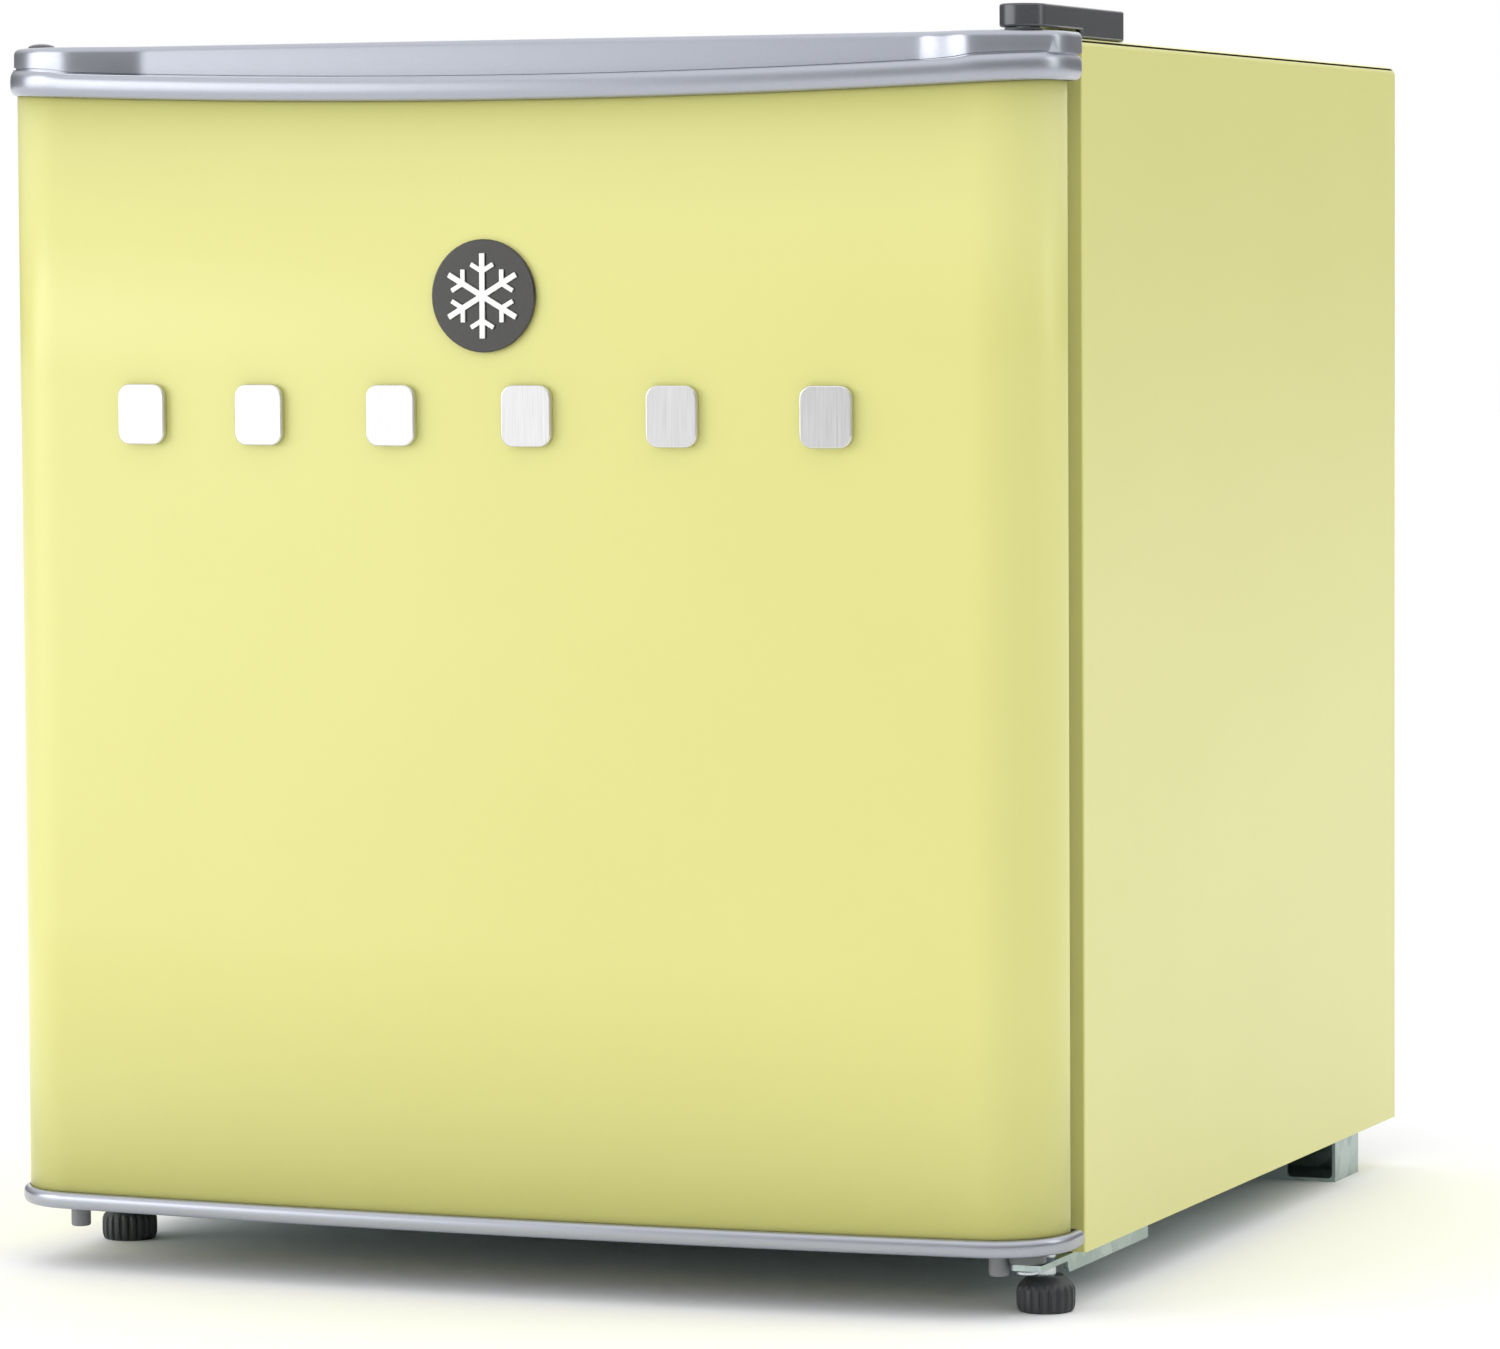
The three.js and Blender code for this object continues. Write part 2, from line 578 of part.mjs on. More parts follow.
function upperHingeBracket() {
  const low = roof + play;
  const raised = low + upperHinge.rise;
  const t = upperHinge.plate;
  const run = polygon([
    [-hinge.forward - 8, raised], [8, raised], [12, low], [upperHinge.rear, low], [upperHinge.rear, low + t],
    [13, low + t], [9, raised + t], [-hinge.forward - 8, raised + t]]);
  const w = upperHinge.width / 2 - cover.wall - play;
  const nose = joined(
    rod(w, axis.x, axis.y, raised - 1, raised + t + 1, 24),
    block(axis.x - w, axis.x + w, axis.y, upperHinge.rear + 1, low - 1, raised + t + 1));
  const holes = upperScrews.map(([x, y]) => rod(screwHole, x, y, low - 1, low + t + 1, 12));
  const body = prismAlongX(run, axis.x - w - 1, axis.x + w + 1).intersect(nose);
  return cut(body, rod(hinge.pin + 0.2, axis.x, axis.y, raised - 1, raised + t + 1), ...holes);
}

function upperHingePin() {
  const seat = roof + play + upperHinge.rise + upperHinge.plate + 0.2;
  const low = topCap.high - 14;
  return turned([
    [0, low], [hinge.pin - 0.6, low], [hinge.pin, low + 1], [hinge.pin, seat], [hinge.pin + 2, seat],
    [hinge.pin + 2, seat + 1.6], [0, seat + 1.6]], axis.x, axis.y, 20);
}

function coverPlan(shrink) {
  const w = upperHinge.width / 2 - shrink;
  const corner = 3;
  const rear = cover.rear - shrink;
  const shape = new THREE.Shape();
  shape.absarc(axis.x, axis.y, w, Math.PI, 2 * Math.PI);
  shape.absarc(axis.x + w - corner, rear - corner, corner, 0, Math.PI / 2);
  shape.absarc(axis.x - w + corner, rear - corner, corner, Math.PI / 2, Math.PI);
  return shape;
}

function upperHingeCover() {
  const jaw = topCap.high + cover.jaw;
  const high = roof + play + cover.height;
  const body = prism(coverPlan(0), roof + play, high);
  const room = prism(coverPlan(cover.wall), roof - 1, high - cover.wall);
  const doorSide = block(axis.x - 30, axis.x + 30, -80, 12, roof - 1, jaw);
  return cut(body, room, doorSide);
}

// A plate under the cabinet with a lug forward under the door and a flange down its outer side.
// The lug's nose stays inside the circle that the stop peg sweeps round the pin.
function lowerHingeBracket() {
  const t = lowerHinge.plate;
  const top = floor - play;
  const side = half - lowerHinge.side;
  const inner = half - lowerHinge.inner;
  const lugLeft = footRight.x - foot.stud - 7;
  const nose = peg.away - peg.radius - 3 * play;
  const pegClear = axis.y + peg.radius + 2.4;
  const noseArc = [0, 16, 33, 49].map((degrees) => {
    const angle = THREE.MathUtils.degToRad(degrees);
    return [axis.x - nose * Math.cos(angle), axis.y - nose * Math.sin(angle)];
  });
  const outline = polygon([
    [inner, 14], [lugLeft, 3], [lugLeft, pegClear], [axis.x - nose, pegClear], ...noseArc,
    [side, axis.y - lowerHinge.lug], [side, lowerHinge.rear], [inner, lowerHinge.rear]]);
  const flangeLow = top - lowerHinge.flange;
  const flangeFront = footRight.y + foot.radius * 0.62 + 2; // behind the foot's neck
  const flangeOutline = polygon([
    [flangeFront, top - 1], [flangeFront, flangeLow + 2], [flangeFront + 2, flangeLow],
    [lowerHinge.rear, flangeLow], [lowerHinge.rear, top - 1]]);
  return cut(
    joined(prism(outline, top - t, top), prismAlongX(flangeOutline, side - 1.5, side)),
    rod(foot.stud + play, footRight.x, footRight.y, top - 5, top + 1),
    rod(hinge.pin + 0.2, axis.x, axis.y, top - 5, top + 1),
    ...lowerScrews.map(([x, y]) => rod(screwHole, x, y, top - 5, top + 1, 12)));
}

function lowerHingePin() {
  const seat = floor - play - lowerHinge.plate - 0.2;
  const high = bottomCap.low + 11;
  return turned([
    [0, seat - 1.4], [hinge.pin + 1.6, seat - 1.4], [hinge.pin + 1.6, seat], [hinge.pin, seat],
    [hinge.pin, high - 1], [hinge.pin - 0.6, high], [0, high]], axis.x, axis.y, 20);
}

function bush(low, high, shoulderLow, shoulderHigh) {
  const outer = hinge.pin + 2.2;
  const { x, y } = axis;
  return cut(
    joined(rod(outer, x, y, low, high, 24), rod(outer + 2, x, y, shoulderLow, shoulderHigh, 24)),
    rod(hinge.pin + hinge.turn, x, y, low - 1, high + 1, 24));
}

// ---------------------------------------------------------------- feet

function footKnob({ x, y }) {
  const { radius, ribs } = foot;
  const [height, neck] = [floor - foot.shoulder, floor - foot.neck];
  const outline = new THREE.Shape();
  for (let i = 0; i < 2 * ribs; i += 1) {
    const r = radius - (i % 2 ? 0.8 : 0);
    const angle = (i / (2 * ribs)) * 2 * Math.PI;
    if (i === 0) outline.moveTo(x + r * Math.cos(angle), y + r * Math.sin(angle));
    else outline.lineTo(x + r * Math.cos(angle), y + r * Math.sin(angle));
  }
  const form = turned([
    [0, 0], [radius - 1.6, 0], [radius - 0.5, 1], [radius, 2.4], [radius, height - 1.4], [radius - 1, height],
    [radius * 0.62, neck - 0.6], [radius * 0.6, neck], [0, neck]], x, y, 2 * ribs);
  return cut(prism(outline, -1, neck + 1).intersect(form), rod(foot.stud + 0.2, x, y, 4, neck + 1, 20));
}

const footStud = ({ x, y }, high) => turned([
  [0, 4.3], [foot.stud, 4.3], [foot.stud, high - 1], [foot.stud - 1, high], [0, high]], x, y, 20);

// ---------------------------------------------------------------- door

function doorSkin() {
  const inner = doorPlan(-sheet, skinRear - sheet);
  const side = half - door.hem;
  const way = block(-side, side, skinRear - sheet - 1, skinRear + 1, skin.low - 1, skin.high + 1);
  return cut(
    prism(doorPlan(0, skinRear), skin.low, skin.high),
    prism(inner, skin.low - 1, skin.high + 1), way, ...hingeRooms());
}

// Room in the door's hollow parts for the hinge bushes and their pins.
const hingeRooms = () => [
  rod(hinge.pin + 5, axis.x, axis.y, skin.low - 5, bottomCap.low + 12.5, 24),
  rod(hinge.pin + 5, axis.x, axis.y, topCap.high - 15.5, topCap.high + 5, 24)];

function doorTopCap() {
  const bandLow = topCap.low - topCapDrop.dip - 2;
  const band = prism(doorPlan(cap.proud, -cap.rear, cap.cornerRear), bandLow, topCap.ledge);
  const dipAt = (x) => topCapDrop.dip * (1 - Math.min(1, Math.abs(x) / half) ** 2);
  const edge = [];
  for (let i = 0; i <= 24; i += 1) {
    const x = (half + 5) * (1 - i / 12);
    edge.push([x, dipAt(x)]);
  }
  const bandZone = polygon([
    ...edge.map(([x, dip]) => [x, topCap.low - dip]),
    ...edge.toReversed().map(([x, dip]) => [x, topCap.ledge - dip])]);
  const tierPlan = doorPlan(cap.proud - cap.tierInset, -cap.rear, cap.cornerRear);
  const tier = prism(tierPlan, topCap.low + 1, topCap.high);
  const fingers = new THREE.Shape();
  const front = skinFront - 30;
  const [start, end] = [half - recess.start, half - recess.end];
  const middle = (start + end) / 2;
  fingers.moveTo(start, front).lineTo(start, skinFront + 1);
  fingers.bezierCurveTo(middle + 4, skinFront + 1, middle + 2, -recess.wall, end, -recess.wall);
  fingers.lineTo(-end, -recess.wall);
  fingers.bezierCurveTo(-middle - 2, -recess.wall, -middle - 4, skinFront + 1, -start, skinFront + 1);
  fingers.lineTo(-start, front);
  const hand = prism(fingers, topCap.low - 1, topCap.high + 1);
  const skinRoom = prism(doorPlan(play, 0), topCap.low - 20, skin.high + play);
  const low = skin.high + play - 1;
  const roomPlan = prism(doorPlan(-cap.wall, -cap.rear - cap.wall), low, topCap.high - cap.wall);
  const recessWall = block(
    -start - cap.wall, start + cap.wall, -90, -recess.wall + cap.wall, low - 1, topCap.high + 1);
  const cornerRooms = roomPlan.subtract(recessWall);
  const solid = joined(band.intersect(prismAlongY(bandZone, -90, 0)), tier.subtract(hand));
  const seat = rod(hinge.pin + 2.5, axis.x, axis.y, topCap.high - 20, topCap.high + 1, 24);
  const plugSeat = rod(2.4, -axis.x, axis.y, topCap.high - 8, topCap.high + 1, 16);
  return cut(solid, skinRoom, cornerRooms, seat, plugSeat);
}

function doorBottomCap() {
  const { low, high } = bottomCap;
  const body = prism(doorPlan(cap.proud, -cap.rear - 1.2, cap.cornerRear), low, high);
  const skinRoom = prism(doorPlan(play, 0), skin.low - play, high + 1);
  const seat = rod(hinge.pin + 2.5, axis.x, axis.y, low - 1, high + 1, 24);
  const pegSeats = pegPlaces.map(([x, y]) => rod(1.8, x, y, low - 1, high + 1, 16));
  return cut(body, skinRoom, seat, ...pegSeats);
}

function stopPeg([x, y]) {
  const seat = bottomCap.low - play;
  const low = seat - peg.length;
  return turned([
    [0, low], [peg.radius - 0.6, low], [peg.radius, low + 0.6], [peg.radius, seat], [1.5, seat],
    [1.5, skin.low - play], [0, skin.low - play]], x, y, 20);
}

function capPlug() {
  const z = topCap.high + 0.1;
  return turned([
    [0, z - 6], [2, z - 6], [2, z], [5.6, z], [5.2, z + 0.9], [3.6, z + 1.7], [0, z + 2.1]],
  -axis.x, axis.y, 24);
}

function doorFoam() {
  const body = prism(doorPlan(-sheet - play, skinRear - sheet - play), skin.low + 1.2, skin.high - 1.2);
  return cut(body, ...hingeRooms());
}

function doorLiner() {
  const t = dyke.thick;
  const rear = flange.rear;
  const outer = cavity.half - dyke.inset;
  const [low, high] = [cavity.low + dyke.inset, cavity.high - dyke.inset];
  const sheetPart = prismAlongY(
    rectangle(-flange.half, flange.half, flange.low, flange.high, 6), rear - linerThickness, rear, 3);
  const outline = (inset, corner) =>
    rectangle(inset - outer, outer - inset, low + inset, high - inset, corner);
  const ring = (inset, y0, y1) => cut(
    prismAlongY(outline(inset, 6 - inset), y0, y1, 3),
    prismAlongY(outline(dyke.width - inset, 3), y0 - 1, y1 + 1, 3));
  return cut(
    joined(sheetPart, ring(0, rear - 1, dyke.reach)), ring(t, rear - linerThickness - 1, dyke.reach - t));
}

function doorGasket() {
  const { inset, width, crown } = gasket;
  const outline = (away, corner) =>
    rectangle(away - half, half - away, floor + away, roof - away, corner);
  const ring = (grow, y0, y1) => cut(
    prismAlongY(outline(inset - grow, 5), y0, y1, 3),
    prismAlongY(outline(inset + width + grow, 4), y0 - 1, y1 + 1, 3));
  const rear = -play;
  const front = flange.rear + play;
  return joined(ring(-2, front, rear - crown + 0.1), ring(0, rear - crown, rear), ring(0, front, front + 2));
}

function doorRack({ height, rear, wall: t }, low) {
  const high = low + height;
  const side = cavity.half - dyke.inset - dyke.width - 1.5;
  const front = flange.rear + play;
  const body = prism(rectangle(-side, side, front, rear, 8), low, high, 3);
  const room = prism(rectangle(-side + t, side - t, front + t, rear - t, 6), low + t, high + 1, 3);
  const view = block(-side + 22, side - 22, rear - t - 1, rear + 1, high - (high - low) * 0.42, high + 1);
  return cut(body, room, view);
}

// ---------------------------------------------------------------- badge and trim

function badgePlate() {
  const disc = rodAlongY(badge.radius, badge.x, roof - badge.below, -reach - 5, skinFront, 48);
  return disc.intersect(doorLayer(play, play + badge.thick));
}

function badgeSnowflake() {
  const arm = (length, width, angle, x = 0, z = 0) => {
    const shape = rectangle(0, length, -width / 2, width / 2);
    const bar = extruded(shape, 30, 1).rotateX(Math.PI / 2).rotateY(-angle);
    return solidOf(bar.translate(badge.x + x, skinFront - 1, roof - badge.below + z));
  };
  const bars = [];
  for (let i = 0; i < 6; i += 1) {
    const angle = Math.PI / 6 + (i * Math.PI) / 3;
    const [x, z] = [9.5 * Math.cos(angle), 9.5 * Math.sin(angle)];
    bars.push(arm(16.5, 2.2, angle));
    bars.push(arm(5.5, 1.8, angle + Math.PI / 3, x, z), arm(5.5, 1.8, angle - Math.PI / 3, x, z));
  }
  const from = 2 * play + badge.thick;
  return joined(...bars).intersect(doorLayer(from, from + badge.relief));
}

// A layer on the door's bowed front, from `from` to `to` proud of the skin.
const doorLayer = (from, to) => cut(
  prism(doorPlan(to, skinRear), floor, roof), prism(doorPlan(from, skinRear + 1), floor - 1, roof + 1));

function trimStud(x) {
  const z = roof - stud.below;
  const { wide, tall, corner } = stud;
  const tile = rectangle(x - wide / 2, x + wide / 2, z - tall / 2, z + tall / 2, corner);
  return prismAlongY(tile, -reach - 5, skinRear, 6).intersect(doorLayer(play, play + stud.thick));
}

// ---------------------------------------------------------------- the assembly

const looks = {
  yellow: [0xe6e3a6, 0.35, 0.1],
  silver: [0x8e929c, 0.35, 0.7],
  darkGrey: [0x55575c, 0.45, 0.5],
  white: [0xf1f1ec, 0.45, 0],
  clear: [0xdfe8ea, 0.25, 0],
  foam: [0xe3cf94, 0.95, 0],
  galvanised: [0xaab0b4, 0.45, 0.8],
  steel: [0xc2c4c8, 0.3, 0.9],
  aluminium: [0xd0d2d4, 0.4, 0.9],
  copper: [0xb87a4b, 0.35, 0.9],
  black: [0x1c1d1f, 0.6, 0.1],
  grey: [0x8a8a8a, 0.6, 0],
  rubber: [0x3a3a38, 0.9, 0],
  nylon: [0xe8e6dc, 0.6, 0],
  brushed: [0xd4d5d8, 0.3, 0.95],
};

const model = new THREE.Group();
model.position.y = (reach - cabinet.depth) / 2;

function place(name, look, solid) {
  const [color, roughness, metalness] = looks[look];
  const finish = new THREE.MeshStandardMaterial({ color, roughness, metalness });
  const mesh = new THREE.Mesh(geometryOf(solid), finish);
  mesh.name = name;
  model.add(mesh);
}

place("cabinet_shell", "yellow", cabinetShell());
place("back_panel", "galvanised", backPanel());
place("base_plate", "galvanised", basePlate());
place("cabinet_foam", "foam", cabinetFoam());
place("inner_liner", "white", innerLiner());

place("condenser_tube", "copper", condenserTube());
place("evaporator", "aluminium", evaporator());
place("suction_tube", "copper", suctionTube());
place("capillary_tube", "copper", capillaryTube());
place("filter_dryer", "copper", filterDryer());
place("compressor", "black", compressorBody());
place("compressor_relay_cover", "black", relayCover());
place("compressor_mount_plate", "galvanised", mountPlate());
grommetPlaces.forEach((spot, i) => place(`compressor_grommet_${i + 1}`, "rubber", grommetAt(spot)));
plateScrews.forEach(([x, y], i) =>
  place(`mount_plate_screw_${i + 1}`, "steel", screw(x, y, floor - play - plate.sheet - play, true)));

place("freezer_frame", "white", freezerFrame());
place("freezer_flap", "clear", freezerFlap());
place("drip_tray", "clear", dripTray());
place("wire_shelf", "white", wireShelf());
place("thermostat_housing", "white", thermostatHousing());
place("thermostat_body", "steel", thermostatBody());
place("thermostat_knob", "white", thermostatKnob());

place("upper_hinge_bracket", "galvanised", upperHingeBracket());
place("upper_hinge_pin", "steel", upperHingePin());
upperScrews.forEach(([x, y], i) =>
  place(`upper_hinge_screw_${i + 1}`, "steel", screw(x, y, roof + upperHinge.plate + 2 * play, false)));
place("upper_hinge_cover", "darkGrey", upperHingeCover());
place("lower_hinge_bracket", "galvanised", lowerHingeBracket());
place("lower_hinge_pin", "steel", lowerHingePin());
lowerScrews.forEach(([x, y], i) =>
  place(`lower_hinge_screw_${i + 1}`, "steel", screw(x, y, floor - lowerHinge.plate - 2 * play, true)));
place("foot_left_knob", "black", footKnob(footLeft));
place("foot_left_stud", "steel", footStud(footLeft, floor + 10));
place("foot_right_knob", "black", footKnob(footRight));
place("foot_right_stud", "steel", footStud(footRight, bottomCap.low - 1));

place("door_skin", "yellow", doorSkin());
place("door_top_cap", "silver", doorTopCap());
place("door_bottom_cap", "silver", doorBottomCap());
place("door_foam", "foam", doorFoam());
place("door_liner", "white", doorLiner());
place("door_gasket", "grey", doorGasket());
place("door_rack_upper", "clear", doorRack(upperRack, floor + upperRack.up));
place("door_rack_lower", "clear", doorRack(lowerRack, cavity.low + dyke.inset + dyke.width + 3));
place("hinge_bush_upper", "nylon",
  bush(topCap.high - 14, topCap.high + 1, topCap.high + play, topCap.high + 1));
place("hinge_bush_lower", "nylon", bush(floor, bottomCap.low + 9, floor, bottomCap.low - play));
place("cap_plug", "darkGrey", capPlug());
pegPlaces.forEach((spot, i) => place(`stop_peg_${["left", "right"][i]}`, "grey", stopPeg(spot)));
place("badge_plate", "black", badgePlate());
place("badge_snowflake", "white", badgeSnowflake());
studPlaces.forEach((x, i) => place(`trim_stud_${i + 1}`, "brushed", trimStud(x)));

export default model;
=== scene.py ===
import math

import bmesh
import bpy
import numpy as np
from mathutils import Matrix, Vector


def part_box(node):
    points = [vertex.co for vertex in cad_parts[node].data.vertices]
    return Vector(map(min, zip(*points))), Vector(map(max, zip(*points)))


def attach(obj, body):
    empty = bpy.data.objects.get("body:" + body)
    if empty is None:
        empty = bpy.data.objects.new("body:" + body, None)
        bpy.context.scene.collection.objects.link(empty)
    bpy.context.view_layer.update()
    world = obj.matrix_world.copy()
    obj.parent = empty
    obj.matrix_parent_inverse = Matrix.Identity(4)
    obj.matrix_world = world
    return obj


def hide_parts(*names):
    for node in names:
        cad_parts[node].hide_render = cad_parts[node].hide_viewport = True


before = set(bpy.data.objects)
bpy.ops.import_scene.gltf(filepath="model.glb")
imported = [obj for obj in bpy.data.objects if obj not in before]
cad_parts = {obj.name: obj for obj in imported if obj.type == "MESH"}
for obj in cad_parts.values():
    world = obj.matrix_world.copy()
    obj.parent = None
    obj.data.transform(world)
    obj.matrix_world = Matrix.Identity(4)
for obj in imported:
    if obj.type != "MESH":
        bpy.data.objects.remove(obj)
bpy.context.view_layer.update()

# ---------------------------------------------------------------- the set: camera, floor, lamps
# The fridge stands on a seamless white paper floor. The room lights it: a white ceiling, a large
# soft screen at its left front and lit paper behind. One faint lamp stands at its right rear.

EYE = Vector((1.0335, -2.53464, 0.40286))
YAW, PITCH, ROLL = 0.37281, 0.05894, 0.00517
FOCAL = 6477.07  # in widths of one picture cell, 1500 of which cross the frame
FRAME_WIDE, FRAME_HIGH = 1500, 1349
SENSOR = 36
MIDDLE = (820.0, 646.976)  # where the lens axis meets the picture

ahead = Vector((-math.sin(YAW) * math.cos(PITCH), math.cos(YAW) * math.cos(PITCH), -math.sin(PITCH)))
across = Vector((math.cos(YAW), math.sin(YAW), 0))
below = ahead.cross(across)
right = math.cos(ROLL) * across + math.sin(ROLL) * below
down = math.cos(ROLL) * below - math.sin(ROLL) * across

lens = bpy.data.cameras.new("camera")
lens.sensor_fit = "HORIZONTAL"
lens.sensor_width = SENSOR
lens.lens = SENSOR * FOCAL / FRAME_WIDE
lens.shift_x = (FRAME_WIDE / 2 - MIDDLE[0]) / FRAME_WIDE
lens.shift_y = (MIDDLE[1] - FRAME_HIGH / 2) / FRAME_WIDE
lens.clip_end = 50
camera = bpy.data.objects.new("camera", lens)
camera.matrix_world = Matrix((right, -down, -ahead)).transposed().to_4x4()
camera.location = EYE
bpy.context.scene.collection.objects.link(camera)
bpy.context.scene.camera = camera


def linear(shade):
    """The linear RGBA of an sRGB colour written as #rrggbb."""
    part = np.array([int(shade[i : i + 2], 16) for i in (1, 3, 5)]) / 255
    flat = np.where(part <= 0.04045, part / 12.92, ((part + 0.055) / 1.055) ** 2.4)
    return (*flat.tolist(), 1.0)


def add(tree, kind, links=None, **settings):
    """A node of that kind. A setting is one of its properties or, failing that, one of its sockets;
    links join a socket of it to (node, output)."""
    node = tree.nodes.new("ShaderNode" + kind)
    for key, value in settings.items():
        if hasattr(node, key):
            setattr(node, key, value)
        else:
            node.inputs[key.replace("_", " ")].default_value = value
    for socket, (source, output) in (links or {}).items():
        tree.links.new(source.outputs[output], node.inputs[socket])
    return node


def bare_material(name):
    """A new material of that name and its node tree, emptied."""
    made = bpy.data.materials.new(name)
    made.use_nodes = True
    made.node_tree.nodes.clear()
    return made, made.node_tree


def paper():
    """Matt white background paper: barely toothed, no gloss."""
    made, tree = bare_material("background_paper")
    where = add(tree, "TexCoord")
    tooth = add(tree, "TexNoise", {"Vector": (where, "Object")}, Scale=900.0, Detail=3.0)
    bump = add(tree, "Bump", {"Height": (tooth, "Fac")}, Strength=0.1, Distance=0.0002)
    sheet = add(tree, "BsdfDiffuse", {"Normal": (bump, "Normal")})
    sheet.inputs["Color"].default_value = linear("#FBFBFB")
    add(tree, "OutputMaterial", {"Surface": (sheet, "BSDF")})
    return made


REACH = 14  # how far the paper runs to each side
floor_mesh = bpy.data.meshes.new("floor")
floor_mesh.from_pydata([(-REACH, -REACH, 0), (REACH, -REACH, 0), (REACH, REACH, 0), (-REACH, REACH, 0)],
                       [], [(0, 1, 2, 3)])
floor_paper = bpy.data.objects.new("floor", floor_mesh)
floor_mesh.materials.append(paper())
bpy.context.scene.collection.objects.link(floor_paper)


def soft_box(name, place, aim, wide, high, watts, shade):
    """A rectangular lamp at place, turned to face aim."""
    lamp = bpy.data.lights.new(name, "AREA")
    lamp.shape = "RECTANGLE"
    lamp.size, lamp.size_y = wide, high
    lamp.energy = watts
    lamp.color = linear(shade)[:3]
    box = bpy.data.objects.new(name, lamp)
    box.location = place
    box.rotation_euler = (Vector(aim) - Vector(place)).to_track_quat("-Z", "Y").to_euler()
    bpy.context.scene.collection.objects.link(box)


soft_box("lamp_right", (2.0, 0.55, 0.95), (0.2, 0.12, 0.25), 0.6, 1.0, 4, "#FBFFFA")


def studio():
    """The room: a white ceiling that darkens towards the horizon, soft screens whose edges fade
    out, and white paper behind the fridge from wherever it is seen."""
    sky = bpy.data.worlds.new("studio")
    sky.use_nodes = True
    tree = sky.node_tree
    tree.nodes.clear()
    where = add(tree, "TexCoord")
    part = add(tree, "SeparateXYZ", {"Vector": (where, "Generated")})
    ceiling = add(tree, "MapRange", {"Value": (part, "Z")}, interpolation_type="SMOOTHSTEP",
                  From_Min=0.0, From_Max=0.75, To_Min=ROOM_LOW, To_Max=ROOM_HIGH)
    total = (ceiling, "Result")
    for middle, edge, full, light in SCREENS:
        facing = add(tree, "VectorMath", {0: (where, "Generated")}, operation="DOT_PRODUCT")
        facing.inputs[1].default_value = middle
        screen = add(tree, "MapRange", {"Value": (facing, "Value")}, interpolation_type="SMOOTHSTEP",
                     From_Min=edge, From_Max=full, To_Min=0.0, To_Max=light)
        total = (add(tree, "Math", {0: total, 1: (screen, "Result")}, operation="ADD"), "Value")
    seen = add(tree, "LightPath")
    level = add(tree, "Mix", {"Factor": (seen, "Is Camera Ray"), "A": total}, data_type="FLOAT")
    level.inputs[3].default_value = 1.0
    glow = add(tree, "Background", {"Strength": (level, 0)})
    glow.inputs["Color"].default_value = (1, 1, 1, 1)
    add(tree, "OutputWorld", {"Surface": (glow, "Background")})
    return sky


ROOM_LOW, ROOM_HIGH = 0.08, 1.35
# Each screen: the direction of its middle, the cosines at which it starts and is full, its light.
SCREENS = [((-0.79, -0.61, -0.02), 0.83, 0.93, 3.3),  # the large one at the left front
           ((-0.25, 0.95, 0.18), 0.88, 0.95, 0.9)]  # the lit paper behind
bpy.context.scene.world = studio()
bpy.context.scene.view_settings.view_transform = "Standard"

# ---------------------------------------------------------------- cabinet shell
# One folded sheet of 0.8 mm steel wraps the sides and roof, with a lip turned in round the mouth
# and another round the back. It is sprayed with stoving enamel, the same yellow as the door.

PAINT_LIGHT, PAINT_DEEP = "#DBD987", "#D7D582"


def enamelled_steel(name, light, deep):
    """Stoving enamel on sheet steel: glossy, with orange peel 1.5 mm across and the faintest
    cloudiness over a hand's width."""
    made, tree = bare_material(name)
    where = add(tree, "TexCoord")
    cloud = add(tree, "TexNoise", {"Vector": (where, "Object")}, Scale=9.0, Detail=2.0)
    mix = add(tree, "Mix", {"Factor": (cloud, "Fac")}, data_type="RGBA")
    mix.inputs[6].default_value, mix.inputs[7].default_value = linear(light), linear(deep)
    peel = add(tree, "TexNoise", {"Vector": (where, "Object")}, Scale=650.0, Detail=1.5)
    gloss = add(tree, "MapRange", {"Value": (peel, "Fac")}, To_Min=0.34, To_Max=0.42)
    bump = add(tree, "Bump", {"Height": (peel, "Fac")}, Strength=0.35, Distance=0.00006)
    skin = add(tree, "BsdfPrincipled",
               {"Base Color": (mix, 2), "Roughness": (gloss, "Result"), "Normal": (bump, "Normal")})
    skin.inputs["Specular IOR Level"].default_value = 0.5
    skin.inputs["Coat Weight"].default_value = 0.3
    skin.inputs["Coat Roughness"].default_value = 0.28
    add(tree, "OutputMaterial", {"Surface": (skin, "BSDF")})
    return made


yellow_enamel = enamelled_steel("yellow_stoving_enamel", PAINT_LIGHT, PAINT_DEEP)


def fitted(name, node, material, body, mesh):
    """Puts a finished mesh in the scene for a CAD node: material, body, slot and replacement."""
    if mesh.materials:
        mesh.materials.clear()
    mesh.materials.append(material)
    piece = bpy.data.objects.new(name, mesh)
    bpy.context.scene.collection.objects.link(piece)
    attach(piece, body)
    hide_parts(*([node] if isinstance(node, str) else node))
    return piece


def smoothed(mesh, angle=32):
    """Smooth shading, with edges sharper than that many degrees kept crisp."""
    mesh.shade_smooth()
    mesh.set_sharp_from_angle(angle=math.radians(angle))
    return mesh


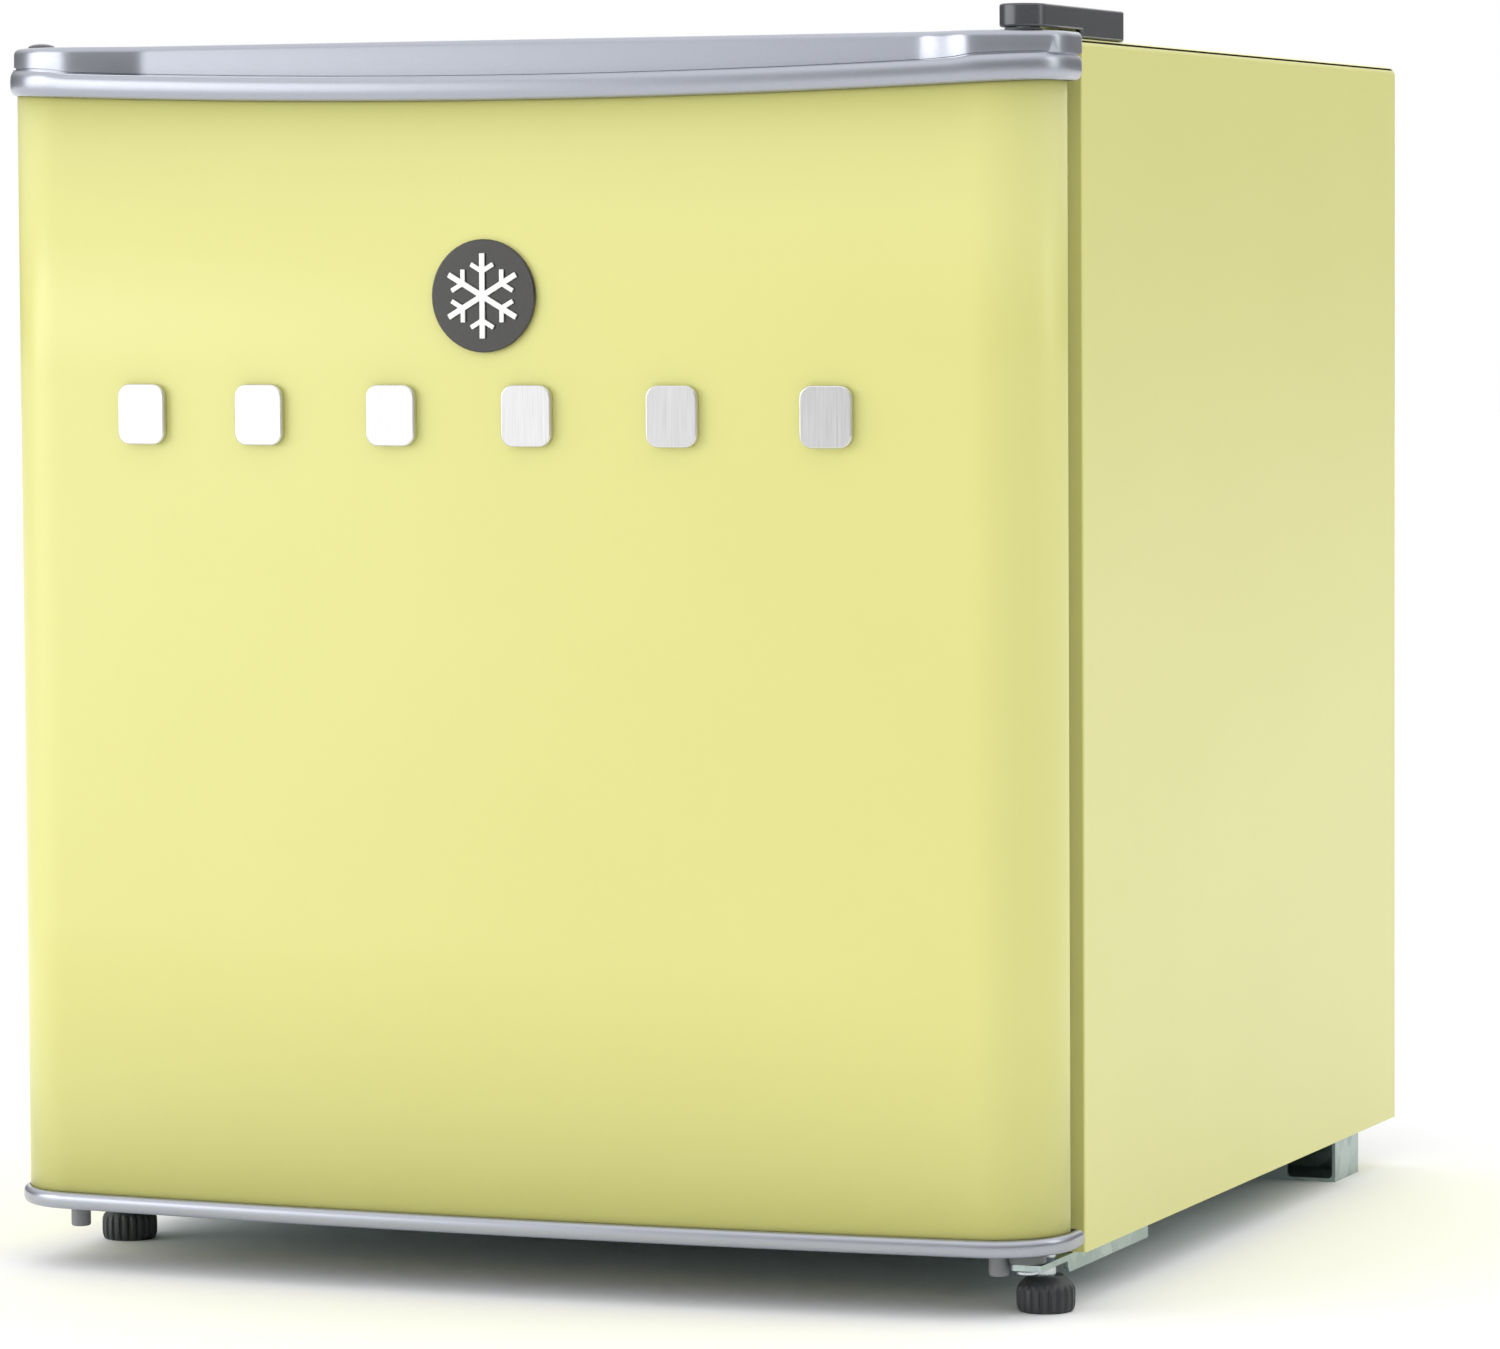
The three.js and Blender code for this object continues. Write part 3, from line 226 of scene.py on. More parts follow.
def eased(name, node, material, body, width, steps=2, angle=32, fold=None):
    """The CAD node's own shape, its loose triangles merged into flat faces and its edges rounded
    by width, in metres. fold picks edges to round more: it takes a bmesh edge and gives a radius
    or None."""
    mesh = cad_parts[node].data.copy()
    work = bmesh.new()
    work.from_mesh(mesh)
    bmesh.ops.remove_doubles(work, verts=work.verts, dist=2e-6)
    bmesh.ops.dissolve_limit(work, angle_limit=math.radians(0.6), verts=work.verts, edges=work.edges)
    if fold:
        chosen = [edge for edge in work.edges if fold(edge)]
        bmesh.ops.bevel(work, geom=chosen, offset=fold(chosen[0]), offset_type="OFFSET", segments=5,
                        profile=0.5, affect="EDGES", clamp_overlap=True)
    work.to_mesh(mesh)
    work.free()
    mesh.name = name
    piece = fitted(name, node, material, body, smoothed(mesh, angle))
    if width:
        round_over = piece.modifiers.new("edges", "BEVEL")
        round_over.width = width
        round_over.segments = steps
        round_over.limit_method = "ANGLE"
        round_over.angle_limit = math.radians(angle)
        level = piece.modifiers.new("flats", "WEIGHTED_NORMAL")
        level.keep_sharp = True
    return piece


shell_low, shell_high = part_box("cabinet_shell")
FOLD = 0.0021
OUTLINE = 0.006  # an edge this near the shell's side or roof counts as its outline


def mouth_fold(edge):
    """The radius of the fold between the walls and the lip round the mouth, for the edges that
    run along the shell's outline in its front plane."""
    ends = [end.co for end in edge.verts]
    in_front = all(end.y < shell_low.y + 1e-5 for end in ends)
    outline = all(end.x < shell_low.x + OUTLINE or end.x > shell_high.x - OUTLINE
                  or end.z < shell_low.z + 1e-4 or end.z > shell_high.z - OUTLINE for end in ends)
    return FOLD if in_front and outline else None


eased("cabinet_wrap", "cabinet_shell", yellow_enamel, "cabinet", 0.0003,
      fold=mouth_fold)

# ---------------------------------------------------------------- back, base and mount plates
# Hot-dip galvanised sheet, left bare where it doesn't show from the front: the flat back, the
# folded base with the roof of the compressor bay, and the channel that the fridge stands on.


def galvanised_sheet():
    """Hot-dip zinc: crystals about 9 mm across, each with its own tone and gloss, and rolling
    scratches too fine to count."""
    made, tree = bare_material("galvanised_sheet")
    where = add(tree, "TexCoord")
    warp = add(tree, "TexNoise", {"Vector": (where, "Object")}, Scale=160.0, Detail=2.0)
    bent = add(tree, "VectorMath", {0: (warp, "Color")}, operation="SCALE")
    bent.inputs["Scale"].default_value = 0.004
    moved = add(tree, "VectorMath", {0: (where, "Object"), 1: (bent, 0)}, operation="ADD")
    crystal = add(tree, "TexVoronoi", {"Vector": (moved, 0)}, Scale=110.0)
    tone = add(tree, "ValToRGB", {"Fac": (crystal, "Color")})
    tone.color_ramp.elements[0].color = linear("#8FA3A4")
    tone.color_ramp.elements[1].color = linear("#C3CFCE")
    gloss = add(tree, "MapRange", {"Value": (crystal, "Color")}, To_Min=0.28, To_Max=0.46)
    fine = add(tree, "TexNoise", {"Vector": (where, "Object")}, Scale=2200.0, Detail=2.0)
    bump = add(tree, "Bump", {"Height": (fine, "Fac")}, Strength=0.15, Distance=0.00003)
    skin = add(tree, "BsdfPrincipled", {"Base Color": (tone, "Color"), "Roughness": (gloss, "Result"),
                                        "Normal": (bump, "Normal")}, Metallic=0.9)
    add(tree, "OutputMaterial", {"Surface": (skin, "BSDF")})
    return made


galvanised = galvanised_sheet()


def finished(node, material):
    """A CAD node that keeps its own shape takes the material in every slot."""
    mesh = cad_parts[node].data
    mesh.materials.clear()
    mesh.materials.append(material)


for plain in ("back_panel", "base_plate"):
    finished(plain, galvanised)
eased("mount_channel", "compressor_mount_plate", galvanised, "cabinet", 0.0004)

# ---------------------------------------------------------------- insulation
# Rigid polyurethane foamed in place between shell and liner, and in the door. It bonds the
# sheets together and fills every corner.


def blown_foam():
    """Rigid polyurethane: straw yellow, closed cells under a millimetre drawn at two."""
    made, tree = bare_material("polyurethane_foam")
    where = add(tree, "TexCoord")
    cells = add(tree, "TexVoronoi", {"Vector": (where, "Object")}, Scale=500.0)
    tone = add(tree, "ValToRGB", {"Fac": (cells, "Distance")})
    tone.color_ramp.elements[0].color = linear("#C9AE6A")
    tone.color_ramp.elements[1].color = linear("#EAD9A6")
    bump = add(tree, "Bump", {"Height": (cells, "Distance")}, Strength=0.6, Distance=0.0004)
    skin = add(tree, "BsdfPrincipled", {"Base Color": (tone, "Color"), "Normal": (bump, "Normal")},
               Roughness=0.95)
    add(tree, "OutputMaterial", {"Surface": (skin, "BSDF")})
    return made


foam = blown_foam()
for packing in ("cabinet_foam", "door_foam"):
    finished(packing, foam)

# ---------------------------------------------------------------- inner liner
# White high-impact polystyrene, vacuum formed in one piece: front flange, chamber, the step over
# the compressor bay, and two pairs of ledges for the shelf and the drip tray.


def polystyrene(name, light, deep, dull, grain):
    """Vacuum-formed polystyrene: a soft gloss, slightly waxy, its surface wavy at a few
    millimetres where the sheet stretched."""
    made, tree = bare_material(name)
    where = add(tree, "TexCoord")
    cloud = add(tree, "TexNoise", {"Vector": (where, "Object")}, Scale=14.0, Detail=3.0)
    mix = add(tree, "Mix", {"Factor": (cloud, "Fac")}, data_type="RGBA")
    mix.inputs[6].default_value, mix.inputs[7].default_value = linear(light), linear(deep)
    pebble = add(tree, "TexNoise", {"Vector": (where, "Object")}, Scale=grain, Detail=2.0)
    gloss = add(tree, "MapRange", {"Value": (pebble, "Fac")}, To_Min=dull - 0.05, To_Max=dull + 0.06)
    bump = add(tree, "Bump", {"Height": (pebble, "Fac")}, Strength=0.3, Distance=0.00008)
    skin = add(tree, "BsdfPrincipled",
               {"Base Color": (mix, 2), "Roughness": (gloss, "Result"), "Normal": (bump, "Normal")})
    add(tree, "OutputMaterial", {"Surface": (skin, "BSDF")})
    return made


white_liner = polystyrene("white_polystyrene", "#F3F3EF", "#ECEDE8", 0.34, 420.0)
eased("chamber_liner", "inner_liner", white_liner, "cabinet", 0.0006)

# ---------------------------------------------------------------- copper pipework
# Drawn copper tube: the condenser against the shell's inside, the suction pipe down the back,
# the capillary, and the filter dryer spun from a wider piece.


def drawn_copper():
    """Drawn copper tube: salmon, dulled in patches by handling and brazing heat."""
    made, tree = bare_material("drawn_copper")
    where = add(tree, "TexCoord")
    stain = add(tree, "TexNoise", {"Vector": (where, "Object")}, Scale=55.0, Detail=4.0)
    tone = add(tree, "ValToRGB", {"Fac": (stain, "Fac")})
    tone.color_ramp.elements[0].position, tone.color_ramp.elements[1].position = 0.35, 0.65
    tone.color_ramp.elements[0].color = linear("#8A4F32")
    tone.color_ramp.elements[1].color = linear("#D08A62")
    gloss = add(tree, "MapRange", {"Value": (stain, "Fac")}, To_Min=0.5, To_Max=0.22)
    skin = add(tree, "BsdfPrincipled", {"Base Color": (tone, "Color"), "Roughness": (gloss, "Result")},
               Metallic=1.0)
    add(tree, "OutputMaterial", {"Surface": (skin, "BSDF")})
    return made


copper = drawn_copper()
finished("condenser_tube", copper)


def surface(name, grid, ring=True, closed=True, turn=False):
    """A mesh through grid[row, column]: a quad between each four neighbours, the last column
    joined to the first if ring, and one flat face over the first and the last row if closed.
    turn reverses every face."""
    rows, columns, _ = grid.shape
    number = np.arange(rows * columns).reshape(rows, columns)
    if ring:
        number = np.concatenate([number, number[:, :1]], 1)
    quads = np.stack([number[:-1, :-1], number[:-1, 1:], number[1:, 1:], number[1:, :-1]], -1)
    faces = quads.reshape(-1, 4).tolist()
    if closed:
        faces += [np.arange(columns)[::-1].tolist(), ((rows - 1) * columns + np.arange(columns)).tolist()]
    if turn:
        faces = [face[::-1] for face in faces]
    mesh = bpy.data.meshes.new(name)
    mesh.from_pydata(grid.reshape(-1, 3).tolist(), [], faces)
    mesh.validate()
    return mesh


def spun(name, profile, centre, columns=64, turn=False):
    """A solid of revolution about a vertical line: each (radius, height) of the profile, from the
    bottom up, carried round by cosine and sine."""
    profile = np.array(profile, float)
    angle = np.linspace(0, 2 * np.pi, columns, endpoint=False)
    ring = np.stack([np.cos(angle), np.sin(angle)], -1)
    flat = centre[:2] + profile[:, None, :1] * ring[None]
    tall = np.broadcast_to(profile[:, None, 1:], (len(profile), columns, 1))
    return smoothed(surface(name, np.concatenate([flat, tall], -1), turn=turn))


def bent(corners, bend, steps=8):
    """The points of a run of pipe: straight between its corners, each corner rounded by a
    parabola that starts bend before it and ends bend after it."""
    corners = np.array(corners, float)
    t = np.linspace(0, 1, steps)[:, None]
    run = [corners[:1]]
    for before, corner, after in zip(corners[:-2], corners[1:-1], corners[2:]):
        reach = min(bend, np.linalg.norm(corner - before) * 0.49, np.linalg.norm(after - corner) * 0.49)
        enter = corner + (before - corner) / np.linalg.norm(before - corner) * reach
        leave = corner + (after - corner) / np.linalg.norm(after - corner) * reach
        run.append((1 - t) ** 2 * enter + 2 * t * (1 - t) * corner + t**2 * leave)
    run.append(corners[-1:])
    return np.concatenate(run)


def pipe(name, path, radius, columns=14):
    """A round tube about a path: at each point a circle across the path's direction, its first
    radius square to a line that the path never follows."""
    ahead = np.gradient(path, axis=0)
    ahead /= np.linalg.norm(ahead, axis=1, keepdims=True)
    aside = np.cross(ahead, (0.83, 0.31, 0.47))
    aside /= np.linalg.norm(aside, axis=1, keepdims=True)
    over = np.cross(ahead, aside)
    angle = np.linspace(0, 2 * np.pi, columns, endpoint=False)[None, :, None]
    circle = np.cos(angle) * aside[:, None] + np.sin(angle) * over[:, None]
    return smoothed(surface(name, path[:, None] + radius * circle), 50)


ROW = -0.18265  # the cabinet's front plane in the frame


def at(x, y, z):
    """A point measured in millimetres from the cabinet's front plane and the floor."""
    return (x / 1000, ROW + y / 1000, z / 1000)


suction_run = bent([at(-60, 372.3, 425), at(-60, 419.2, 425), at(-60, 419.2, 130), at(-5, 355, 120)], 0.01)
fitted("suction_pipe", "suction_tube", copper, "cabinet",
       pipe("suction_pipe", suction_run, 0.0026))
capillary_run = bent([at(-150, 385, 150.3), at(-150, 385, 160), at(-110, 385, 168), at(-110, 385, 120),
                      at(-80, 385, 110)], 0.014)
fitted("capillary_pipe", "capillary_tube", copper, "cabinet",
       pipe("capillary_pipe", capillary_run, 0.0012, 10))
low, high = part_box("filter_dryer")
drum = np.array([(3, 0), (3, 10), (3.6, 11), (8, 18), (8, 19.5), (8, 74), (7.6, 76), (2.5, 83),
                 (2.5, 90)]) / 1000
drum[:, 1] += low.z
fitted("filter_drum", "filter_dryer", copper, "cabinet",
       spun("filter_drum", drum, (np.array(low) + np.array(high))[:2] / 2, 40, turn=False))

# ---------------------------------------------------------------- evaporator
# Roll-bonded aluminium, two sheets with the channel blown between them, folded into the freezer
# box. The refrigerant boils in the raised channel.


def roll_bond():
    """Roll-bonded aluminium: mill finish with rolling lines, and a blown channel every 32 mm
    that stands a millimetre proud."""
    made, tree = bare_material("roll_bond_aluminium")
    where = add(tree, "TexCoord")
    stretch = add(tree, "Mapping", {"Vector": (where, "Object")})
    stretch.inputs["Scale"].default_value = (1.0, 0.03, 1.0)
    lines = add(tree, "TexNoise", {"Vector": (stretch, "Vector")}, Scale=900.0, Detail=3.0)
    tone = add(tree, "ValToRGB", {"Fac": (lines, "Fac")})
    tone.color_ramp.elements[0].color = linear("#B9BDC0")
    tone.color_ramp.elements[1].color = linear("#E2E5E7")
    wave = add(tree, "TexWave", {"Vector": (where, "Object")}, wave_type="BANDS", bands_direction="Y",
               wave_profile="SIN", Scale=9.8, Distortion=0.0)
    crest = add(tree, "MapRange", {"Value": (wave, "Fac")}, From_Min=0.72, From_Max=0.95)
    bump = add(tree, "Bump", {"Height": (crest, "Result")}, Strength=0.8, Distance=0.001)
    gloss = add(tree, "MapRange", {"Value": (lines, "Fac")}, To_Min=0.3, To_Max=0.5)
    skin = add(tree, "BsdfPrincipled", {"Base Color": (tone, "Color"), "Roughness": (gloss, "Result"),
                                        "Normal": (bump, "Normal")}, Metallic=1.0)
    add(tree, "OutputMaterial", {"Surface": (skin, "BSDF")})
    return made


eased("freezer_box", "evaporator", roll_bond(), "cabinet", 0.0004)

# ---------------------------------------------------------------- compressor and its mounts
# A welded steel pot, enamelled black, with a snap-on cover over its starting relay. Its feet
# stand on four rubber grommets.


def black_paint(name, shade, other, dull, grain, coat):
    """Black stoving enamel or black moulding: nearly even, dust-dulled in patches, with a fine
    pebble under the gloss."""
    made, tree = bare_material(name)
    where = add(tree, "TexCoord")
    dust = add(tree, "TexNoise", {"Vector": (where, "Object")}, Scale=30.0, Detail=4.0)
    mix = add(tree, "Mix", {"Factor": (dust, "Fac")}, data_type="RGBA")
    mix.inputs[6].default_value, mix.inputs[7].default_value = linear(shade), linear(other)
    pebble = add(tree, "TexNoise", {"Vector": (where, "Object")}, Scale=grain, Detail=2.0)
    gloss = add(tree, "MapRange", {"Value": (dust, "Fac")}, To_Min=dull - 0.08, To_Max=dull + 0.1)
    bump = add(tree, "Bump", {"Height": (pebble, "Fac")}, Strength=0.4, Distance=0.0001)
    skin = add(tree, "BsdfPrincipled",
               {"Base Color": (mix, 2), "Roughness": (gloss, "Result"), "Normal": (bump, "Normal")})
    skin.inputs["Coat Weight"].default_value = coat
    add(tree, "OutputMaterial", {"Surface": (skin, "BSDF")})
    return made


pot_enamel = black_paint("black_stoving_enamel", "#141517", "#202225", 0.32, 500.0, 0.4)
black_moulding = black_paint("black_moulding", "#1B1C1E", "#28292B", 0.5, 900.0, 0.0)
rubber = black_paint("moulded_rubber", "#262625", "#343432", 0.8, 1400.0, 0.0)
eased("compressor_pot", "compressor", pot_enamel, "cabinet", 0.0006, angle=40)
eased("relay_cap", "compressor_relay_cover", black_moulding, "cabinet", 0.0012, 3)
for count in range(1, 5):
    eased(f"grommet_{count}", f"compressor_grommet_{count}", rubber, "cabinet", 0.0004, angle=45)

# ---------------------------------------------------------------- screws, pins and studs
# Cold-headed steel with bright zinc plating: pan-head screws with a cross recess, the riveted
# hinge pins and the threaded studs of the feet.


def zinc_plate():
    """Bright zinc plating: a clear bluish metal with the faint lines of the header's die."""
    made, tree = bare_material("bright_zinc")
    where = add(tree, "TexCoord")
    lines = add(tree, "TexNoise", {"Vector": (where, "Object")}, Scale=1800.0, Detail=3.0)
    tone = add(tree, "ValToRGB", {"Fac": (lines, "Fac")})
    tone.color_ramp.elements[0].color = linear("#A9AFB6")
    tone.color_ramp.elements[1].color = linear("#DADFE4")
    gloss = add(tree, "MapRange", {"Value": (lines, "Fac")}, To_Min=0.18, To_Max=0.34)
    bump = add(tree, "Bump", {"Height": (lines, "Fac")}, Strength=0.2, Distance=0.00003)
    skin = add(tree, "BsdfPrincipled", {"Base Color": (tone, "Color"), "Roughness": (gloss, "Result"),
                                        "Normal": (bump, "Normal")}, Metallic=1.0)
    add(tree, "OutputMaterial", {"Surface": (skin, "BSDF")})
    return made


zinc = zinc_plate()


def screw(name, node, faces_up):
    """A pan head on a shank: height over radius is a shallow dome, sunk by a cross that is the
    larger of two narrow humps across the head."""
    low, high = (np.array(corner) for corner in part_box(node))
    centre = (low + high)[:2] / 2
    radius, head = (high - low)[0] / 2, 0.0024
    r = np.array([0.02, 0.12, 0.24, 0.36, 0.48, 0.6, 0.72, 0.84, 0.93, 0.98, 1.0, 1.0, 0.46, 0.46])
    angle = np.linspace(0, 2 * np.pi, 72, endpoint=False)
    x, y = r[:, None] * np.cos(angle), r[:, None] * np.sin(angle)
    dome = np.sqrt(np.clip(1 - (r * 0.93) ** 2, 0, 1))[:, None] + 0 * angle
    arm = np.maximum(np.exp(-((x / 0.11) ** 4)), np.exp(-((y / 0.11) ** 4)))
    recess = 0.75 * arm * np.clip((0.62 - r[:, None]) / 0.2, 0, 1)
    height = head * (dome - recess * (r[:, None] < 0.7))
    height[-3:] = 0
    height[-1] = -(high - low)[2] + head
    top = high[2] - head if faces_up else low[2] + head
    z = top + (1 if faces_up else -1) * height
    grid = np.stack([centre[0] + radius * x, centre[1] + radius * y, z], -1)
    mesh = smoothed(surface(name, grid, turn=faces_up), 40)
    fitted(name, node, zinc, "cabinet", mesh)


screw("roof_screw_1", "upper_hinge_screw_1", True)
screw("roof_screw_2", "upper_hinge_screw_2", True)
for plain in ("mount_plate_screw_1", "mount_plate_screw_2", "lower_hinge_screw_1", "lower_hinge_screw_2"):
    screw(plain + "_head", plain, False)
for plain in ("foot_left_stud", "foot_right_stud"):
    finished(plain, zinc)

# ---------------------------------------------------------------- freezer frame, flap and tray
# A white moulded frame snaps round the freezer box. Its flap and the drip tray below are
# injection-moulded in frosted polystyrene that lets light through.


def frosted_polystyrene():
    """Frosted crystal polystyrene: clear with a bluish cast, its gloss broken by a fine mould
    texture. Its index is that of polystyrene."""
    made, tree = bare_material("frosted_polystyrene")
    where = add(tree, "TexCoord")
    frost = add(tree, "TexNoise", {"Vector": (where, "Object")}, Scale=1100.0, Detail=2.0)
    tone = add(tree, "ValToRGB", {"Fac": (frost, "Fac")})
    tone.color_ramp.elements[0].color = linear("#E4EFF2")
    tone.color_ramp.elements[1].color = linear("#F4F9FA")
    gloss = add(tree, "MapRange", {"Value": (frost, "Fac")}, To_Min=0.18, To_Max=0.3)
    bump = add(tree, "Bump", {"Height": (frost, "Fac")}, Strength=0.3, Distance=0.00005)
    skin = add(tree, "BsdfPrincipled", {"Base Color": (tone, "Color"), "Roughness": (gloss, "Result"),
                                        "Normal": (bump, "Normal")}, IOR=1.59)
    skin.inputs["Transmission Weight"].default_value = 0.72
    add(tree, "OutputMaterial", {"Surface": (skin, "BSDF")})
    return made


frosted = frosted_polystyrene()
eased("freezer_surround", "freezer_frame", white_liner, "cabinet", 0.0006)
eased("freezer_door_flap", "freezer_flap", frosted, "freezer_flap", 0.0006)
eased("drip_pan", "drip_tray", frosted, "drip_tray", 0.0005)

# ---------------------------------------------------------------- wire shelf
# Steel wire, welded and dipped in white polyester: a frame with round corners and fifteen
# thinner wires laid on it from front to back.


def dipped_wire():
    """Polyester powder over wire: thick, white and glossy, drawn out into slow ripples."""
    made, tree = bare_material("white_polyester_coat")
    where = add(tree, "TexCoord")
    ripple = add(tree, "TexNoise", {"Vector": (where, "Object")}, Scale=260.0, Detail=2.0)
    tone = add(tree, "ValToRGB", {"Fac": (ripple, "Fac")})
    tone.color_ramp.elements[0].color = linear("#E9EAE7")
    tone.color_ramp.elements[1].color = linear("#F8F8F6")
    gloss = add(tree, "MapRange", {"Value": (ripple, "Fac")}, To_Min=0.2, To_Max=0.32)
    bump = add(tree, "Bump", {"Height": (ripple, "Fac")}, Strength=0.3, Distance=0.0001)
    skin = add(tree, "BsdfPrincipled", {"Base Color": (tone, "Color"), "Roughness": (gloss, "Result"),
                                        "Normal": (bump, "Normal")})
    add(tree, "OutputMaterial", {"Surface": (skin, "BSDF")})
    return made


def gathered(name, meshes):
    """One mesh from several."""
    work = bmesh.new()
    for mesh in meshes:
        work.from_mesh(mesh)
    whole = bpy.data.meshes.new(name)
    work.to_mesh(whole)
    work.free()
    return smoothed(whole, 50)


FRAME_ROD, THIN_WIRE, WIRES = 0.0025, 0.0013, 15
low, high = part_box("wire_shelf")
left, far = low.x + FRAME_ROD, high.x - FRAME_ROD
fore, rear = low.y + FRAME_ROD, high.y - FRAME_ROD
level = low.z + FRAME_ROD
loop = bent([(0, fore, level), (far, fore, level), (far, rear, level), (left, rear, level),
             (left, fore, level), (0, fore, level)], 0.012)
rods = [pipe("frame_rod", loop, FRAME_ROD, 16)]
for x in np.linspace(left, far, WIRES + 2)[1:-1]:
    wire = np.array([(x, fore - 0.001, level + 0.0016), (x, rear + 0.001, level + 0.0016)])
    rods.append(pipe("wire", wire, THIN_WIRE, 10))
fitted("shelf_grid", "wire_shelf", dipped_wire(), "wire_shelf", gathered("shelf_grid", rods))

# ---------------------------------------------------------------- thermostat
# A white moulded housing screwed to the chamber's roof, the plated control inside it, and a
# ribbed push-on dial with a raised pointer.

eased("thermostat_case", "thermostat_housing", white_liner, "cabinet", 0.0008)
finished("thermostat_body", zinc)
eased("thermostat_dial", "thermostat_knob",
      polystyrene("dial_polystyrene", "#EDEDEA", "#E6E7E3", 0.42, 900.0),
      "thermostat_knob", 0.0003, angle=20)

# ---------------------------------------------------------------- hinges
# Pressed steel plates screwed to roof and base, with riveted pins that turn in nylon bushes.
# A dark cover moulded in ABS clips over the upper plate.

eased("roof_plate", "upper_hinge_bracket", zinc, "cabinet", 0.0003)
eased("roof_pin", "upper_hinge_pin", zinc, "cabinet", 0.0003)
eased("base_hinge_plate", "lower_hinge_bracket", galvanised, "cabinet", 0.0004)
eased("base_pin", "lower_hinge_pin", zinc, "cabinet", 0.0003)
nylon = polystyrene("nylon_bush", "#6E7271", "#626665", 0.45, 800.0)
for plain in ("hinge_bush_upper", "hinge_bush_lower"):
    finished(plain, nylon)


def painted_abs(name, light, deep, metal, dull):
    """ABS sprayed with metallic lacquer: flakes a few tenths of a millimetre wide glint through
    a smooth clear film, lighter and darker by turns."""
    made, tree = bare_material(name)
    where = add(tree, "TexCoord")
    flake = add(tree, "TexVoronoi", {"Vector": (where, "Object")}, Scale=2600.0)
    tone = add(tree, "ValToRGB", {"Fac": (flake, "Color")})
    tone.color_ramp.elements[0].color = linear(deep)
    tone.color_ramp.elements[1].color = linear(light)
    film = add(tree, "TexNoise", {"Vector": (where, "Object")}, Scale=420.0, Detail=2.0)
    gloss = add(tree, "MapRange", {"Value": (film, "Fac")}, To_Min=dull - 0.02, To_Max=dull + 0.03)
    bump = add(tree, "Bump", {"Height": (film, "Fac")}, Strength=0.1, Distance=0.00002)
    skin = add(tree, "BsdfPrincipled", {"Base Color": (tone, "Color"), "Roughness": (gloss, "Result"),
                                        "Normal": (bump, "Normal")}, Metallic=metal)
    skin.inputs["Coat Weight"].default_value = 0.3
    skin.inputs["Coat Roughness"].default_value = 0.15
    add(tree, "OutputMaterial", {"Surface": (skin, "BSDF")})
    return made


dark_abs = painted_abs("dark_grey_abs", "#55565A", "#4B4C50", 0.45, 0.3)
eased("hinge_cap", "upper_hinge_cover", dark_abs, "cabinet", 0.0014, 4)

# ---------------------------------------------------------------- feet
# Two levelling feet: a black nylon knob with twenty ribs, moulded onto a steel stud, which is
# turned by hand to raise its corner of the fridge.


def foot_knob(name, node, body):
    """A ribbed knob: radius over height is a rounded drum with a waisted neck, and twenty
    rounded ribs stand on the drum alone."""
    low, high = (np.array(corner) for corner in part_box(node))
    centre = (low + high)[:2] / 2
    profile = np.array([(9.6, 0), (10.4, 0.2), (10.9, 1), (11.3, 2.4), (11.4, 4), (11.4, 7.4), (11.3, 8.6),
                        (10.9, 9.7), (10.2, 10.7), (9.2, 11.8), (8.1, 12.8),
                        (7.2, 13.4), (6.8, 14), (4.2, 14)]) / 1000
    ribbed = np.array([0, 0.3, 0.7, 1, 1, 1, 1, 0.6, 0.1, 0, 0, 0, 0, 0])[:, None]
    angle = np.linspace(0, 2 * np.pi, 320, endpoint=False)[None]
    groove = np.clip(-np.cos(20 * angle) + 0.1, 0, 1) ** 0.8 * 0.0009
    r = profile[:, :1] - ribbed * groove
    grid = np.stack([centre[0] + r * np.cos(angle), centre[1] + r * np.sin(angle),
                     low[2] + profile[:, 1:] + 0 * angle], -1)
    fitted(name, node, foot_nylon, body, smoothed(surface(name, grid), 40))


foot_nylon = black_paint("black_nylon", "#2A2D2F", "#383B3D", 0.42, 1000.0, 0.0)
foot_knob("foot_drum_left", "foot_left_knob", "foot_left")
foot_knob("foot_drum_right", "foot_right_knob", "foot_right")

# ---------------------------------------------------------------- door skin
# One enamelled sheet bent round the front: a shallow bow between two generous corners, sides
# straight back, and a hem turned in all the way down each rear edge.

low, high = (np.array(corner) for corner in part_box("door_skin"))
HALF, SKIN_REAR = high[0], high[1]
CORNER, BOW = 0.0293, 0.0077
SIDE_FRONT = SKIN_REAR - 0.0323


def door_outline(grow, rear, rear_corner, hem=0.0):
    """The door's plan from its right rear edge round the front to its left one: a quarter round
    at the rear, a straight side, a corner arc, half the bow, and their mirror image. The bow's
    radius is (half chord squared + rise squared) over twice the rise."""
    chord = HALF - CORNER
    bow_radius = (chord**2 + BOW**2) / (2 * BOW)
    slope = math.asin(chord / bow_radius)
    corner_y = SIDE_FRONT + CORNER
    bow_y = corner_y + chord / math.tan(slope)
    side = HALF + grow
    a = np.linspace(math.pi / 2, 0, 6)
    rear_round = np.stack([side - rear_corner + rear_corner * np.cos(a),
                           rear - rear_corner + rear_corner * np.sin(a)], -1)
    y = np.linspace(rear - rear_corner, corner_y, 5)[1:-1]
    straight = np.stack([np.full(3, side), y], -1)
    a = np.linspace(0, slope - math.pi / 2, 28)
    arc = np.stack([chord + (CORNER + grow) * np.cos(a), corner_y + (CORNER + grow) * np.sin(a)], -1)
    a = np.linspace(slope - math.pi / 2, -math.pi / 2, 90)[1:]
    reach = CORNER + grow + chord / math.sin(slope)
    bowed = np.stack([reach * np.cos(a), bow_y + reach * np.sin(a)], -1)
    half = np.concatenate([rear_round, straight, arc, bowed])
    if hem:
        half = np.concatenate([[[side - hem, rear]], half])
    return np.concatenate([half, half[-2::-1] * (-1, 1)])


